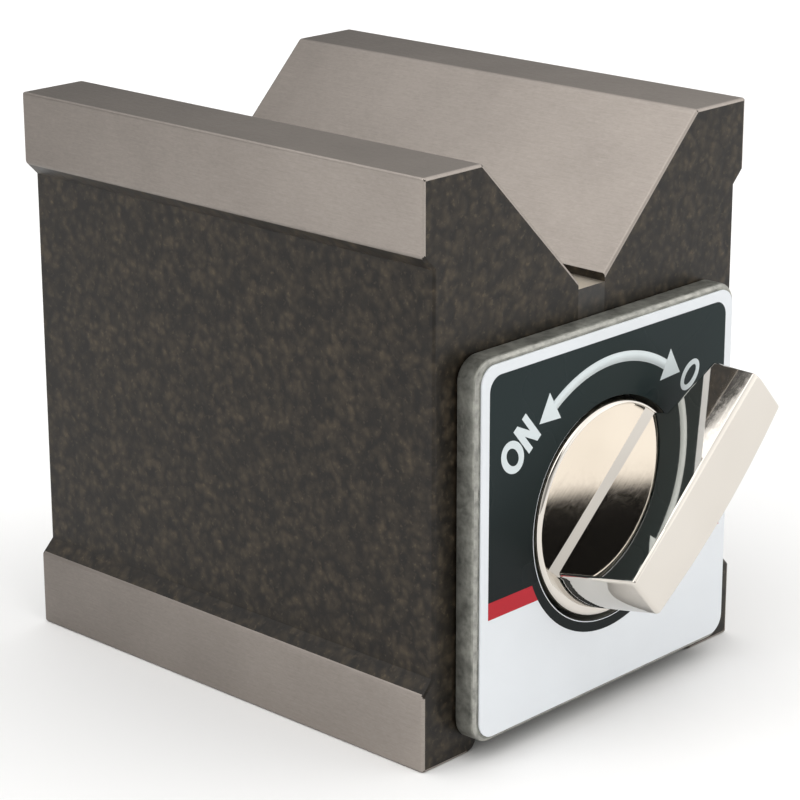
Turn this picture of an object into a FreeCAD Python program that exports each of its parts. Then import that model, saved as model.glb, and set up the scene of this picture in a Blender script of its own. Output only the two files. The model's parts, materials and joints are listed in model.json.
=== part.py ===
import FreeCAD, Part
import math
import os

from FreeCAD import Vector

# A magnetic V-block. The block stands on its two feet at Z = 0, its V groove runs along Y,
# and its knob faces -Y. The origin is under the middle of the whole object.
# All sizes are in millimetres and degrees.

# Block
block_width = 60.0
block_length = 70.0
block_height = 73.0
axis_height = 26.7

# V groove and the relief slot at its root
vee_width = 40.0
vee_half_angle = 45.0
slot_width = 5.0
slot_depth = 1.0

# Ground side rails, and the painted waist between them
top_rail_height = 9.2
bottom_rail_height = 9.9
rail_proud = 1.8

# Feet and the channel between them
foot_width = 9.7
foot_edge_radius = 1.8
channel_depth = 3.0
edge_break = 0.4

# Bore through the block, with a wider recess at each end
bore_radius = 17.0
recess_shoulder = 1.5

# Dowels that pin the two halves through the brass strips
dowel_radius = 1.5
dowel_length = 24.0
dowel_spacing = 44.0
blind_end_gap = 0.3

# Front cover plate, its label and its screws
plate_width = 49.2
plate_height = 48.3
plate_thickness = 3.3
plate_corner_radius = 3.0
plate_edge_bevel = 0.6
label_thickness = 0.3
label_margin = 0.15
screw_radius = 1.5
screw_head_radius = 2.9
screw_head_height = 1.5
screw_grip = 7.0
screw_inset = 4.0

# Knob: a round disc with a lever across it, cast in one piece. The lever's sides are measured from
# the knob's axis; the lower side comes in towards the tip and is round at the heel.
knob_radius = 13.75
knob_hole_gap = 0.65
knob_proud = 0.3
knob_rim_bevel = 0.7
off_angle = 42.0
turn_angle = 90.0
lever_upper_side = 3.5
lever_lower_side = 5.6
lever_taper = 1.4
lever_rise = 11.4
lever_reach = 21.5
lever_heel_inset = 1.35
lever_heel_slope = 2.7
lever_heel_flat = 0.3
lever_tip_depth = 6.8
lever_undercut = 2.4
lever_edge_radius = 0.5
lever_root_radius = 0.8

# Captive flange behind the knob, and its seal
seal_thickness = 0.7
seal_width = 3.4
flange_overlap = 2.1
flange_thickness = 3.0
socket_depth = 5.0

# Stop pin in the arc groove at the back of the flange
stop_pin_radius = 1.5
stop_track_radius = 11.8
stop_groove_depth = 2.0
stop_groove_gap = 0.15
stop_pin_angle = -90.0

# Bearings
bearing_plate_thickness = 4.0
bush_wall = 2.5
journal_radius = 6.5
thrust_washer_thickness = 0.5
thrust_washer_width = 5.0
nose_radius = 5.0
nose_flat = 3.6

# Rear cover and the disc spring in front of it
rear_cover_thickness = 6.0
rear_cover_inset = 0.3
rear_pocket_floor = 2.0
spring_thickness = 0.6
spring_rise = 0.6
spring_width = 4.8

# Rotor: two iron segments, magnets between them, brass keepers and end caps
rotor_gap = 0.3
end_cap_thickness = 4.0
end_cap_gap = 0.2
magnet_thickness = 9.0
magnet_width = 24.0
magnet_count = 3
magnet_gap = 0.1
tie_rod_radius = 1.5
tie_rod_x = 7.0
tie_rod_z = 10.4

# Clearances: a pressed or pinned joint, a shaft in its bush, and parts that turn past each other
fit_gap = 0.02
running_gap = 0.04
free_gap = 0.3

# Places that follow from the sizes above. Depths are measured from the block's front end face
# into the block, so a negative depth stands out in front of it.
label_face = -(plate_thickness + label_thickness)
knob_face = label_face - knob_proud
lever_face = knob_face - lever_rise
front_y = (-lever_face - block_length) / 2.0
slot_half = slot_width / 2.0
vee_root = block_height - (vee_width / 2.0 - slot_half) / math.tan(math.radians(vee_half_angle))
slot_floor = vee_root - slot_depth
recess_radius = bore_radius + recess_shoulder
knob_hole_radius = knob_radius + knob_hole_gap
lever_heel = knob_radius - lever_heel_inset
lever_neck = math.sqrt(knob_radius ** 2 - lever_lower_side ** 2)
lever_lean = math.atan(lever_taper / lever_reach)
flange_radius = knob_hole_radius + flange_overlap
flange_front = seal_thickness + free_gap
flange_back = flange_front + flange_thickness
bearing_front = flange_back + free_gap
bearing_back = bearing_front + bearing_plate_thickness
front_cap_face = bearing_back + thrust_washer_thickness + free_gap
front_cap_back = front_cap_face + end_cap_thickness
rear_cover_back = block_length - rear_cover_inset
rear_cover_front = rear_cover_back - rear_cover_thickness
spring_height = spring_thickness + spring_rise
rear_cap_face = rear_cover_front - spring_height - free_gap
rear_cap_front = rear_cap_face - end_cap_thickness
rotor_radius = bore_radius - rotor_gap
end_cap_radius = rotor_radius - end_cap_gap
bush_radius = journal_radius + running_gap + bush_wall
rotor_length = rear_cap_front - front_cap_back


def place(x, depth, z):
    """A point given from the knob's axis and the block's front face."""
    return Vector(x, front_y + depth, axis_height + z)


def rod(radius, start, end, x=0.0, z=0.0):
    """A cylinder along the knob's axis, from one depth to another."""
    return Part.makeCylinder(radius, end - start, place(x, start, z), Vector(0, 1, 0))


def ring(outer, inner, start, end):
    """A washer about the knob's axis."""
    return rod(outer, start, end).cut(rod(inner, start, end))


def slab(x_low, x_high, start, end, z_low, z_high):
    """A box, with its heights measured from the table."""
    corner = Vector(x_low, front_y + start, z_low)
    return Part.makeBox(x_high - x_low, end - start, z_high - z_low, corner)


def cross_pin(radius, length, depth, height):
    """A cylinder across the block, centred on its middle."""
    start = Vector(-length / 2.0, front_y + depth, height)
    return Part.makeCylinder(radius, length, start, Vector(1, 0, 0))


def turned(shape, angle):
    """The shape turned about the knob's axis, anticlockwise as seen from the front."""
    result = shape.copy()
    result.rotate(place(0, 0, 0), Vector(0, -1, 0), angle)
    return result


def pole_profile(side):
    """End view of one half: foot, lower rail, waist, upper rail, land and V face."""
    outer = block_width / 2.0
    waist = outer - rail_proud
    inner_foot = outer - foot_width
    radius = min(foot_edge_radius, 0.8 * channel_depth, 0.4 * foot_width)

    def point(x, z):
        return Vector(side * x, front_y, z)

    bend = radius * (1.0 - math.sqrt(0.5))
    foot_edge = Part.Arc(point(inner_foot, radius), point(inner_foot + bend, bend), point(inner_foot + radius, 0))
    corners = [
        point(inner_foot + radius, 0),
        point(outer, 0),
        point(outer, bottom_rail_height),
        point(waist, bottom_rail_height + rail_proud),
        point(waist, block_height - top_rail_height - rail_proud),
        point(outer, block_height - top_rail_height),
        point(outer, block_height),
        point(vee_width / 2.0, block_height),
        point(slot_half, vee_root),
        point(slot_half, channel_depth),
        point(inner_foot, channel_depth),
        point(inner_foot, radius),
    ]
    return Part.Face(Part.Wire([foot_edge.toShape()] + Part.makePolygon(corners).Edges))


def broken_edges(pole):
    """The edges that are chamfered: round both end faces, but not along the seam, and the long ones."""
    crests = [(block_width / 2.0, 0.0), (block_width / 2.0, block_height), (vee_width / 2.0, block_height)]
    found = []
    for edge in pole.Edges:
        box = edge.BoundBox
        on_seam = max(abs(box.XMin), abs(box.XMax)) < slot_half + fit_gap
        along = box.YLength > block_length / 2.0
        on_crest = any(abs(abs(box.XMin) - x) < fit_gap and abs(box.ZMin - z) < fit_gap for x, z in crests)
        if (not along and not on_seam) or (along and on_crest):
            found.append(edge)
    return found


def bore_space():
    """The bore and its two wider end recesses."""
    bore = rod(bore_radius, 0, block_length)
    front = rod(recess_radius, 0, bearing_back)
    rear = rod(recess_radius, rear_cover_front, block_length)
    return bore.fuse(front).fuse(rear)


def dowel_places():
    """Depths of the dowels along the block."""
    middle = block_length / 2.0
    return [middle - dowel_spacing / 2.0, middle + dowel_spacing / 2.0]


def top_dowel_height():
    """Half way between the bore and the floor of the slot."""
    return (axis_height + bore_radius + slot_floor) / 2.0


def bottom_dowel_height():
    """Half way between the channel's roof and the bore."""
    return (channel_depth + axis_height - bore_radius) / 2.0


def dowels(height, gap, end_gap):
    """The two dowels at one height, grown by the gaps when they cut holes."""
    length = dowel_length + 2.0 * end_gap
    return [cross_pin(dowel_radius + gap, length, depth, height) for depth in dowel_places()]


def dowel_holes():
    """Blind holes, a little deeper than the dowels are long."""
    heights = (top_dowel_height(), bottom_dowel_height())
    return [hole for height in heights for hole in dowels(height, fit_gap, blind_end_gap)]


def corner_places():
    """The cover plate's screw centres, measured from the knob's axis."""
    across = plate_width / 2.0 - screw_inset
    up = plate_height / 2.0 - screw_inset
    return [(x, z) for x in (-across, across) for z in (-up, up)]


def cover_screw(x, z, gap):
    """A countersunk screw with its head flush in the plate, grown by the gap when it cuts a hole."""
    head_start = -plate_thickness
    head_end = head_start + screw_head_height
    direction = Vector(0, 1, 0)
    cone = Part.makeCone(screw_head_radius + gap, screw_radius + gap, screw_head_height,
                         place(x, head_start, z), direction)
    shank = rod(screw_radius + gap, head_end, screw_grip + gap, x, z)
    return cone.fuse(shank).removeSplitter()


def cover_screws(gap):
    return [cover_screw(x, z, gap) for x, z in corner_places()]


def pole(side):
    """One half of the block: a steel bar with its rails, V face and half of the bore."""
    bar = pole_profile(side).extrude(Vector(0, block_length, 0))
    bar = bar.makeChamfer(edge_break, broken_edges(bar))
    return bar.cut([bore_space()] + dowel_holes() + cover_screws(fit_gap))


def strip(low, high):
    """A brass strip between the halves, open to the bore on one side."""
    bar = slab(-slot_half, slot_half, 0, block_length, low, high)
    return bar.cut([bore_space()] + dowel_holes())


def top_spacer():
    return strip(axis_height, slot_floor)


def bottom_spacer():
    return strip(channel_depth, axis_height)


def rounded_plate(width, height, corner, start, end):
    """A plate with round corners, centred on the knob's axis."""
    box = Part.makeBox(width, end - start, height, place(-width / 2.0, start, -height / 2.0))
    corners = [edge for edge in box.Edges if edge.BoundBox.YLength > (end - start) / 2.0]
    return box.makeFillet(corner, corners)


def edges_at(shape, depth):
    """The edges that lie flat at one depth."""
    y = front_y + depth
    return [edge for edge in shape.Edges
            if abs(edge.BoundBox.YMin - y) < fit_gap and abs(edge.BoundBox.YMax - y) < fit_gap]


def cover_plate():
    """The cast plate: bevelled all round, with the knob's hole and four screw holes."""
    plate = rounded_plate(plate_width, plate_height, plate_corner_radius, -plate_thickness, 0)
    plate = plate.makeChamfer(plate_edge_bevel, edges_at(plate, -plate_thickness) + edges_at(plate, 0))
    hole = rod(knob_hole_radius, -plate_thickness, 0)
    return plate.cut([hole] + cover_screws(fit_gap))


def cover_label():
    """The label sheet, a little smaller than the flat front of the plate."""
    inset = plate_edge_bevel + label_margin
    corner = max(plate_corner_radius - inset, label_margin)
    width = plate_width - 2.0 * inset
    height = plate_height - 2.0 * inset
    sheet = rounded_plate(width, height, corner, label_face, -plate_thickness)
    return sheet.cut(rod(knob_hole_radius, label_face, -plate_thickness))


def knob_seal():
    """A rubber washer that closes the gap behind the knob's hole."""
    inner = knob_hole_radius - free_gap
    outer = min(inner + seal_width, recess_radius - fit_gap)
    return ring(outer, inner, 0, seal_thickness)


def lever_profile():
    """Side view of the lever, along its length and out from the disc's face."""
    bed = knob_face + knob_rim_bevel
    shape = [
        (-lever_heel, bed),
        (-lever_heel, knob_face),
        (-lever_heel + lever_heel_slope, lever_face),
        (lever_reach, lever_face),
        (lever_reach, lever_face + lever_tip_depth),
        (lever_neck, knob_face - lever_undercut),
        (lever_neck - knob_rim_bevel, bed),
    ]
    points = [place(along, depth, -knob_radius) for along, depth in shape]
    return Part.Face(Part.makePolygon(points + points[:1]))


def heel_round():
    """Centre and radius of the arc that touches the lever's heel and its lower side."""
    up = lever_upper_side - lever_heel_flat
    slope = math.tan(lever_lean)
    radius = (up + lever_lower_side + lever_heel * slope) / (1.0 / math.cos(lever_lean) + slope)
    return radius - lever_heel, up, radius


def heel_point(angle, depth):
    """A point on the heel's arc; the angle is 0 where the arc meets the lower side."""
    along, up, radius = heel_round()
    turn = lever_lean - math.radians(90.0 + angle)
    return place(along + radius * math.cos(turn), depth, up + radius * math.sin(turn))


def heel_bend():
    """Degrees from the lower side round to the heel."""
    return 90.0 + math.degrees(lever_lean)


def lever_outline():
    """Front view of the lever, a little longer than its side view."""
    depth = lever_face - free_gap
    end = lever_reach + free_gap
    arc = Part.Arc(heel_point(0, depth), heel_point(heel_bend() / 2.0, depth), heel_point(heel_bend(), depth))
    corners = [
        heel_point(heel_bend(), depth),
        place(-lever_heel, depth, lever_upper_side),
        place(end, depth, lever_upper_side),
        place(end, depth, end * math.tan(lever_lean) - lever_lower_side),
        heel_point(0, depth),
    ]
    return Part.Face(Part.Wire([arc.toShape()] + Part.makePolygon(corners).Edges))


def lever():
    """The lever, with its outer edges rounded."""
    side_view = lever_profile().extrude(Vector(0, 0, 2.0 * knob_radius))
    front_view = lever_outline().extrude(Vector(0, lever_rise + 2.0 * knob_radius, 0))
    bar = side_view.common(front_view)
    tip = [edge for edge in bar.Edges if edge.BoundBox.XMin > lever_reach - fit_gap]
    face = [edge for edge in edges_at(bar, lever_face) if edge.BoundBox.XMin < lever_reach - fit_gap]
    return bar.makeFillet(lever_edge_radius, tip + face)


def root_profile(corner, outward):
    """Section of the rounding between a side of the lever and the disc's face."""
    bend = (1.0 - math.sqrt(0.5)) * lever_root_radius

    def point(across, rise):
        return corner + outward * across + Vector(0, -rise, 0)

    foot = point(lever_root_radius, 0)
    top = point(0, lever_root_radius)
    inside = [foot, point(-lever_root_radius, 0), point(-lever_root_radius, lever_root_radius), top]
    arc = Part.Arc(top, point(bend, bend), foot)
    return Part.Face(Part.Wire([arc.toShape()] + Part.makePolygon(inside).Edges))


def lever_roots():
    """The roundings along the lever's upper side, its lower side and its heel's arc."""
    stop = lever_neck - knob_rim_bevel
    upper = root_profile(place(-lever_heel, knob_face, lever_upper_side), Vector(0, 0, 1))
    along, up, _ = heel_round()
    start = heel_point(0, knob_face)
    lower = root_profile(start, Vector(math.sin(lever_lean), 0, -math.cos(lever_lean)))
    reach = stop - start.x
    strips = [
        upper.extrude(Vector(stop + lever_heel, 0, 0)),
        lower.extrude(Vector(reach, 0, reach * math.tan(lever_lean))),
        lower.revolve(place(along, knob_face, up), Vector(0, 1, 0), heel_bend()),
    ]
    flat = rod(knob_radius - knob_rim_bevel, lever_face, knob_face)
    return [strip.common(flat) for strip in strips]


def shaft_nose(gap, start, end):
    """The shaft's end with one flat, which drives the knob."""
    round_end = rod(nose_radius + gap, start, end)
    flat = Part.makeBox(4.0 * nose_radius, end - start, 2.0 * nose_radius,
                        place(-2.0 * nose_radius, start, nose_flat + gap))
    return round_end.cut(flat)


def stop_groove():
    """An arc groove at the flange's back, as long as the knob's turn."""
    half = stop_pin_radius + stop_groove_gap
    start = flange_back - stop_groove_depth
    corners = [
        place(stop_track_radius - half, start, 0),
        place(stop_track_radius + half, start, 0),
        place(stop_track_radius + half, flange_back, 0),
        place(stop_track_radius - half, flange_back, 0),
    ]
    face = Part.Face(Part.makePolygon(corners + corners[:1]))
    arc = face.revolve(place(0, 0, 0), Vector(0, -1, 0), turn_angle)
    end = rod(half, start, flange_back, stop_track_radius, 0)
    groove = arc.fuse([end, turned(end, turn_angle)])
    return turned(groove, stop_pin_angle - turn_angle)


def knob():
    """Disc, lever and captive flange in one casting, with a socket behind for the shaft."""
    disc = rod(knob_radius, knob_face, flange_front)
    disc = disc.makeChamfer(knob_rim_bevel, edges_at(disc, knob_face))
    flange = rod(flange_radius, flange_front, flange_back)
    handle = lever().fuse(lever_roots())
    body = disc.fuse([flange, turned(handle, off_angle)]).removeSplitter()
    socket = shaft_nose(fit_gap, flange_back - socket_depth, flange_back)
    return body.cut([turned(socket, off_angle), stop_groove()])


def bearing_plate():
    """A disc pressed into the front recess, which holds the bush and the stop pin."""
    disc = ring(recess_radius - fit_gap, bush_radius + fit_gap, bearing_front, bearing_back)
    return disc.cut(stop_pin_at(stop_pin_radius + fit_gap, bearing_back))


def stop_pin_at(radius, end):
    """The stop pin's place, from the groove into the bearing plate."""
    start = flange_back - stop_groove_depth + free_gap
    pin = rod(radius, start, end, stop_track_radius, 0)
    return turned(pin, stop_pin_angle)


def front_bush():
    return ring(bush_radius, journal_radius + running_gap, bearing_front, bearing_back)


def thrust_washer():
    inner = journal_radius + free_gap
    return ring(inner + thrust_washer_width, inner, bearing_back, bearing_back + thrust_washer_thickness)


def rear_pocket(radius):
    """The blind hole in the rear cover."""
    return rod(radius, rear_cover_front, rear_cover_back - rear_pocket_floor)


def rear_cover():
    """A round plug pressed into the rear recess, with a pocket for the rear bush."""
    plug = rod(recess_radius - fit_gap, rear_cover_front, rear_cover_back)
    plug = plug.makeChamfer(edge_break, edges_at(plug, rear_cover_back))
    return plug.cut(rear_pocket(bush_radius + fit_gap))


def rear_bush():
    return rear_pocket(bush_radius).cut(rear_pocket(journal_radius + running_gap))


def disc_spring():
    """A dished washer between the rear cover and the rotor."""
    inner = journal_radius + free_gap
    outer = inner + spring_width
    crown = rear_cover_front - spring_height
    corners = [
        place(inner, crown, 0),
        place(inner, crown + spring_thickness, 0),
        place(outer, rear_cover_front, 0),
        place(outer, rear_cover_front - spring_thickness, 0),
    ]
    face = Part.Face(Part.makePolygon(corners + corners[:1]))
    return face.revolve(place(0, 0, 0), Vector(0, 1, 0), 360)


def tie_rods(gap):
    """Four rods pressed through the rotor, flush with its end caps."""
    return [rod(tie_rod_radius + gap, front_cap_face, rear_cap_face, x, z)
            for x in (-tie_rod_x, tie_rod_x) for z in (-tie_rod_z, tie_rod_z)]


def front_end_cap():
    """The rotor's front cap with its journal and the nose that enters the knob."""
    disc = rod(end_cap_radius, front_cap_face, front_cap_back)
    journal = rod(journal_radius, flange_back + free_gap, front_cap_face)
    nose = shaft_nose(0.0, flange_back - socket_depth + blind_end_gap, flange_back + free_gap)
    cap = disc.fuse([journal, turned(nose, off_angle)]).removeSplitter()
    return cap.cut(tie_rods(fit_gap))


def rear_end_cap():
    """The rotor's rear cap with its journal."""
    disc = rod(end_cap_radius, rear_cap_front, rear_cap_face)
    journal = rod(journal_radius, rear_cap_face, rear_cover_back - rear_pocket_floor - blind_end_gap)
    return disc.fuse(journal).removeSplitter().cut(tie_rods(fit_gap))


def rotor_segment(direction):
    """One iron segment, above or below the magnets while the block is switched off."""
    core = rod(rotor_radius, front_cap_back, rear_cap_front)
    low, high = sorted((direction * magnet_thickness / 2.0, direction * rotor_radius))
    window = Part.makeBox(2.0 * rotor_radius, rotor_length, high - low, place(-rotor_radius, front_cap_back, low))
    return core.common(window).cut(tie_rods(fit_gap))


def rotor_magnets():
    """Flat magnets in a row along the rotor."""
    pitch = (rotor_length + magnet_gap) / magnet_count
    blocks = []
    for index in range(magnet_count):
        corner = place(-magnet_width / 2.0, front_cap_back + index * pitch, -magnet_thickness / 2.0)
        blocks.append(Part.makeBox(magnet_width, pitch - magnet_gap, magnet_thickness, corner))
    return Part.makeCompound(blocks)


def rotor_keepers():
    """Brass bars that fill the rotor's sides beside the magnets."""
    core = rod(rotor_radius, front_cap_back, rear_cap_front)
    height = magnet_thickness
    depth = rotor_radius - magnet_width / 2.0
    bars = []
    for x in (-rotor_radius, magnet_width / 2.0):
        window = Part.makeBox(depth, rotor_length, height, place(x, front_cap_back, -height / 2.0))
        bars.append(core.common(window))
    return Part.makeCompound(bars)


def pieces():
    """Every piece by name."""
    return {
        "left_pole": pole(-1),
        "right_pole": pole(1),
        "top_spacer": top_spacer(),
        "bottom_spacer": bottom_spacer(),
        "top_dowels": Part.makeCompound(dowels(top_dowel_height(), 0.0, 0.0)),
        "bottom_dowels": Part.makeCompound(dowels(bottom_dowel_height(), 0.0, 0.0)),
        "cover_plate": cover_plate(),
        "cover_label": cover_label(),
        "cover_screws": Part.makeCompound(cover_screws(0.0)),
        "knob_seal": knob_seal(),
        "bearing_plate": bearing_plate(),
        "front_bush": front_bush(),
        "stop_pin": stop_pin_at(stop_pin_radius, bearing_back),
        "thrust_washer": thrust_washer(),
        "rear_cover": rear_cover(),
        "rear_bush": rear_bush(),
        "disc_spring": disc_spring(),
        "knob": knob(),
        "front_end_cap": front_end_cap(),
        "rear_end_cap": rear_end_cap(),
        "upper_rotor_pole": rotor_segment(1),
        "lower_rotor_pole": rotor_segment(-1),
        "rotor_magnets": rotor_magnets(),
        "rotor_keepers": rotor_keepers(),
        "rotor_tie_rods": Part.makeCompound(tie_rods(0.0)),
    }


os.makedirs("parts", exist_ok=True)
for name, shape in pieces().items():
    shape.exportStep(os.path.join("parts", name + ".step"))
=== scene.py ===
import json
import logging
import math
from dataclasses import dataclass
from enum import Enum

import bmesh
import bpy
from mathutils import Matrix, Vector


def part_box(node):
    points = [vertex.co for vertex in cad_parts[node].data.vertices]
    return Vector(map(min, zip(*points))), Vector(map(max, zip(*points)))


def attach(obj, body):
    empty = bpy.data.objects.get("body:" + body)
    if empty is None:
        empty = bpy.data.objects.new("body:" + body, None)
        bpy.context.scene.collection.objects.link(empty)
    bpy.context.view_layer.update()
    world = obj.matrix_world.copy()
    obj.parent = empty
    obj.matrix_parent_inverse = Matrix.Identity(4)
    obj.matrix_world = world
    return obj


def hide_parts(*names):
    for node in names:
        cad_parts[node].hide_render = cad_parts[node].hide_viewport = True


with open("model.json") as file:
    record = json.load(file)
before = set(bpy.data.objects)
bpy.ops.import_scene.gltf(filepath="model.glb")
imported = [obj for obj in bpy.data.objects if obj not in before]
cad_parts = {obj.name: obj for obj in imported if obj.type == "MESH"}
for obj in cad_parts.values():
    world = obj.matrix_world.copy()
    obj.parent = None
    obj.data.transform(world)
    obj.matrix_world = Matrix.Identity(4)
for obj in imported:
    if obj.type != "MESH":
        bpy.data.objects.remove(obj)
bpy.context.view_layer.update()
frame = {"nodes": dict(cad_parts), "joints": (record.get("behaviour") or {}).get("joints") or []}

log = logging.getLogger("vee_block")

MM = 0.001
TOUCH = 1e-6
WELD = 1e-7
FIT_GAP = 0.02 * MM
ROUND_STEPS = 96
Colour = tuple[float, float, float, float]
Outline = list[tuple[float, float]]
Value = bpy.types.NodeSocket | float | tuple


def tone(red: float, green: float, blue: float) -> Colour:
    """Gives a colour in linear light.

    Args:
        red, green, blue: The colour as a screen shows it, from 0 to 255.

    Returns:
        The colour for a shader, with full alpha.
    """
    def linear(level: float) -> float:
        share = level / 255.0
        return share / 12.92 if share <= 0.04045 else ((share + 0.055) / 1.055) ** 2.4

    return (linear(red), linear(green), linear(blue), 1.0)


@dataclass(frozen=True)
class Layout:
    """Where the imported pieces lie, in metres, read from the frame."""

    axis: Vector
    front: float
    rear: float
    half_width: float
    height: float
    seam: float

    @classmethod
    def read(cls) -> "Layout":
        """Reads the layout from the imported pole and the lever's joint.

        Returns:
            The layout at rest.
        """
        low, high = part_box("right_pole")
        axis = Vector(frame["joints"][0]["pos_m"])
        return cls(axis, low.y, high.y, high.x, high.z, low.x)

    def depth(self, value: float) -> float:
        """Gives the Y of a depth behind the block's front face."""
        return self.front + value

    def radius_of(self, node: str) -> float:
        """Gives the outer radius of a round node about the knob's axis."""
        low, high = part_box(node)
        return max(high.x - self.axis.x, high.z - self.axis.z)


LAYOUT = Layout.read()


# Mesh building


def circle(radius: float, steps: int, centre: tuple[float, float] = (0.0, 0.0)) -> Outline:
    """Gives the points of a circle, anticlockwise from its right.

    Args:
        radius: The circle's radius.
        steps: The number of points.
        centre: The middle, across and up.

    Returns:
        The outline.
    """
    return arc(radius, 0.0, 360.0 * (steps - 1) / steps, steps - 1, centre)


def arc(radius: float, start: float, end: float, steps: int,
        centre: tuple[float, float] = (0.0, 0.0)) -> Outline:
    """Gives the points of an arc.

    Args:
        radius: The arc's radius.
        start, end: The angles in degrees, anticlockwise from the right.
        steps: The number of stretches between the points.
        centre: The middle, across and up.

    Returns:
        The points, with both ends.
    """
    points = []
    for index in range(steps + 1):
        angle = math.radians(start + (end - start) * index / steps)
        points.append((centre[0] + radius * math.cos(angle), centre[1] + radius * math.sin(angle)))
    return points


def rounded_box(left: float, right: float, bottom: float, top: float, radii: tuple[float, ...],
                steps: int = 10) -> Outline:
    """Gives a rectangle with round corners, anticlockwise from its lower right.

    Args:
        left, right, bottom, top: The sides.
        radii: The corner radii: lower right, upper right, upper left, lower left.
        steps: The stretches in each corner.

    Returns:
        The outline.
    """
    corners = [(right, bottom, -1, 1, -90.0), (right, top, -1, -1, 0.0),
               (left, top, 1, -1, 90.0), (left, bottom, 1, 1, 180.0)]
    points: Outline = []
    for (x, z, inward, upward, start), radius in zip(corners, radii):
        if radius > 0.0:
            centre = (x + inward * radius, z + upward * radius)
            points += arc(radius, start, start + 90.0, steps, centre)
        else:
            points.append((x, z))
    return points


def turned(points: Outline, degrees: float, shift: tuple[float, float]) -> Outline:
    """Turns an outline about its own origin, and then shifts it.

    Args:
        points: The outline.
        degrees: The turn, anticlockwise.
        shift: The move across and up.

    Returns:
        The new outline.
    """
    c, s = math.cos(math.radians(degrees)), math.sin(math.radians(degrees))
    return [(x * c - z * s + shift[0], x * s + z * c + shift[1]) for x, z in points]


def new_object(name: str, mesh: bpy.types.Mesh) -> bpy.types.Object:
    """Puts a mesh into the scene as an object at the origin."""
    made = bpy.data.objects.new(name, mesh)
    bpy.context.scene.collection.objects.link(made)
    return made


def from_bmesh(name: str, shape: bmesh.types.BMesh) -> bpy.types.Object:
    """Turns a bmesh into an object with its faces pointing outwards.

    Args:
        name: The object's name.
        shape: The bmesh, which is freed.

    Returns:
        The object.
    """
    bmesh.ops.remove_doubles(shape, verts=shape.verts[:], dist=WELD)
    bmesh.ops.recalc_face_normals(shape, faces=shape.faces[:])
    mesh = bpy.data.meshes.new(name)
    shape.to_mesh(mesh)
    shape.free()
    return new_object(name, mesh)


def prism(outline: Outline, near: float, far: float) -> bmesh.types.BMesh:
    """Builds a solid whose outline lies in the XZ plane.

    Args:
        outline: Its points, across and up.
        near, far: The Y of its two ends.

    Returns:
        The solid.
    """
    shape = bmesh.new()
    face = shape.faces.new([shape.verts.new((x, near, z)) for x, z in outline])
    ends = bmesh.ops.extrude_face_region(shape, geom=[face])
    moved = [item for item in ends["geom"] if isinstance(item, bmesh.types.BMVert)]
    bmesh.ops.translate(shape, verts=moved, vec=(0.0, far - near, 0.0))
    bmesh.ops.recalc_face_normals(shape, faces=shape.faces[:])
    return shape


def lathe(profile: Outline, steps: int) -> bmesh.types.BMesh:
    """Builds a solid of revolution about the knob's axis.

    Args:
        profile: Radius and depth of each point, from the axis at one end to the axis at the other.
        steps: The number of stretches round the axis.

    Returns:
        The solid.
    """
    shape = bmesh.new()
    rings = []
    for radius, depth in profile:
        y = LAYOUT.depth(depth)
        if radius == 0.0:
            rings.append([shape.verts.new((LAYOUT.axis.x, y, LAYOUT.axis.z))])
        else:
            points = circle(radius, steps, (LAYOUT.axis.x, LAYOUT.axis.z))
            rings.append([shape.verts.new((x, y, z)) for x, z in points])
    for one, two in zip(rings, rings[1:]):
        for index in range(steps):
            after = (index + 1) % steps
            corners = [one[index % len(one)], one[after % len(one)],
                       two[after % len(two)], two[index % len(two)]]
            shape.faces.new(list(dict.fromkeys(corners)))
    bmesh.ops.recalc_face_normals(shape, faces=shape.faces[:])
    return shape


def stack(loops: list[list[Vector]]) -> bmesh.types.BMesh:
    """Joins loops of equal count one after the other into a wall.

    Args:
        loops: The loops, each a list of points.

    Returns:
        The wall, open at both ends.
    """
    shape = bmesh.new()
    rings = [[shape.verts.new(point) for point in loop] for loop in loops]
    count = len(loops[0])
    for one, two in zip(rings, rings[1:]):
        for index in range(count):
            after = (index + 1) % count
            shape.faces.new((one[index], one[after], two[after], two[index]))
    return shape


def settle(made: bpy.types.Object, sharp: float = 35.0) -> bpy.types.Object:
    """Applies an object's modifiers and gives it smooth roundings beside flat faces.

    Args:
        made: The object.
        sharp: The angle in degrees past which an edge stays sharp.

    Returns:
        The same object with a plain mesh.
    """
    bake(made)
    mesh = made.data
    mesh.shade_smooth()
    mesh.set_sharp_from_angle(angle=math.radians(sharp))
    weighted = made.modifiers.new("flat_faces", "WEIGHTED_NORMAL")
    weighted.mode = "FACE_AREA"
    weighted.weight = 50
    weighted.keep_sharp = True
    bake(made)
    return made


def bake(made: bpy.types.Object) -> None:
    """Replaces an object's mesh by the one that its modifiers give, and removes them."""
    graph = bpy.context.evaluated_depsgraph_get()
    graph.update()
    mesh = bpy.data.meshes.new_from_object(made.evaluated_get(graph), preserve_all_data_layers=True,
                                           depsgraph=graph)
    made.modifiers.clear()
    made.data = mesh
    mesh.name = made.name


class Join(Enum):
    """How two solids are combined."""

    CUT = "DIFFERENCE"
    UNITE = "UNION"


def combine(made: bpy.types.Object, others: list[bpy.types.Object], how: Join) -> None:
    """Combines solids, and removes the ones that were used up.

    Args:
        made: The solid that stays.
        others: The solids that are cut away or added.
        how: Which of the two.
    """
    for other in others:
        step = made.modifiers.new("combine", "BOOLEAN")
        step.solver = "EXACT"
        step.operation = how.value
        step.object = other
        bake(made)
        bpy.data.objects.remove(other)


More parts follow.
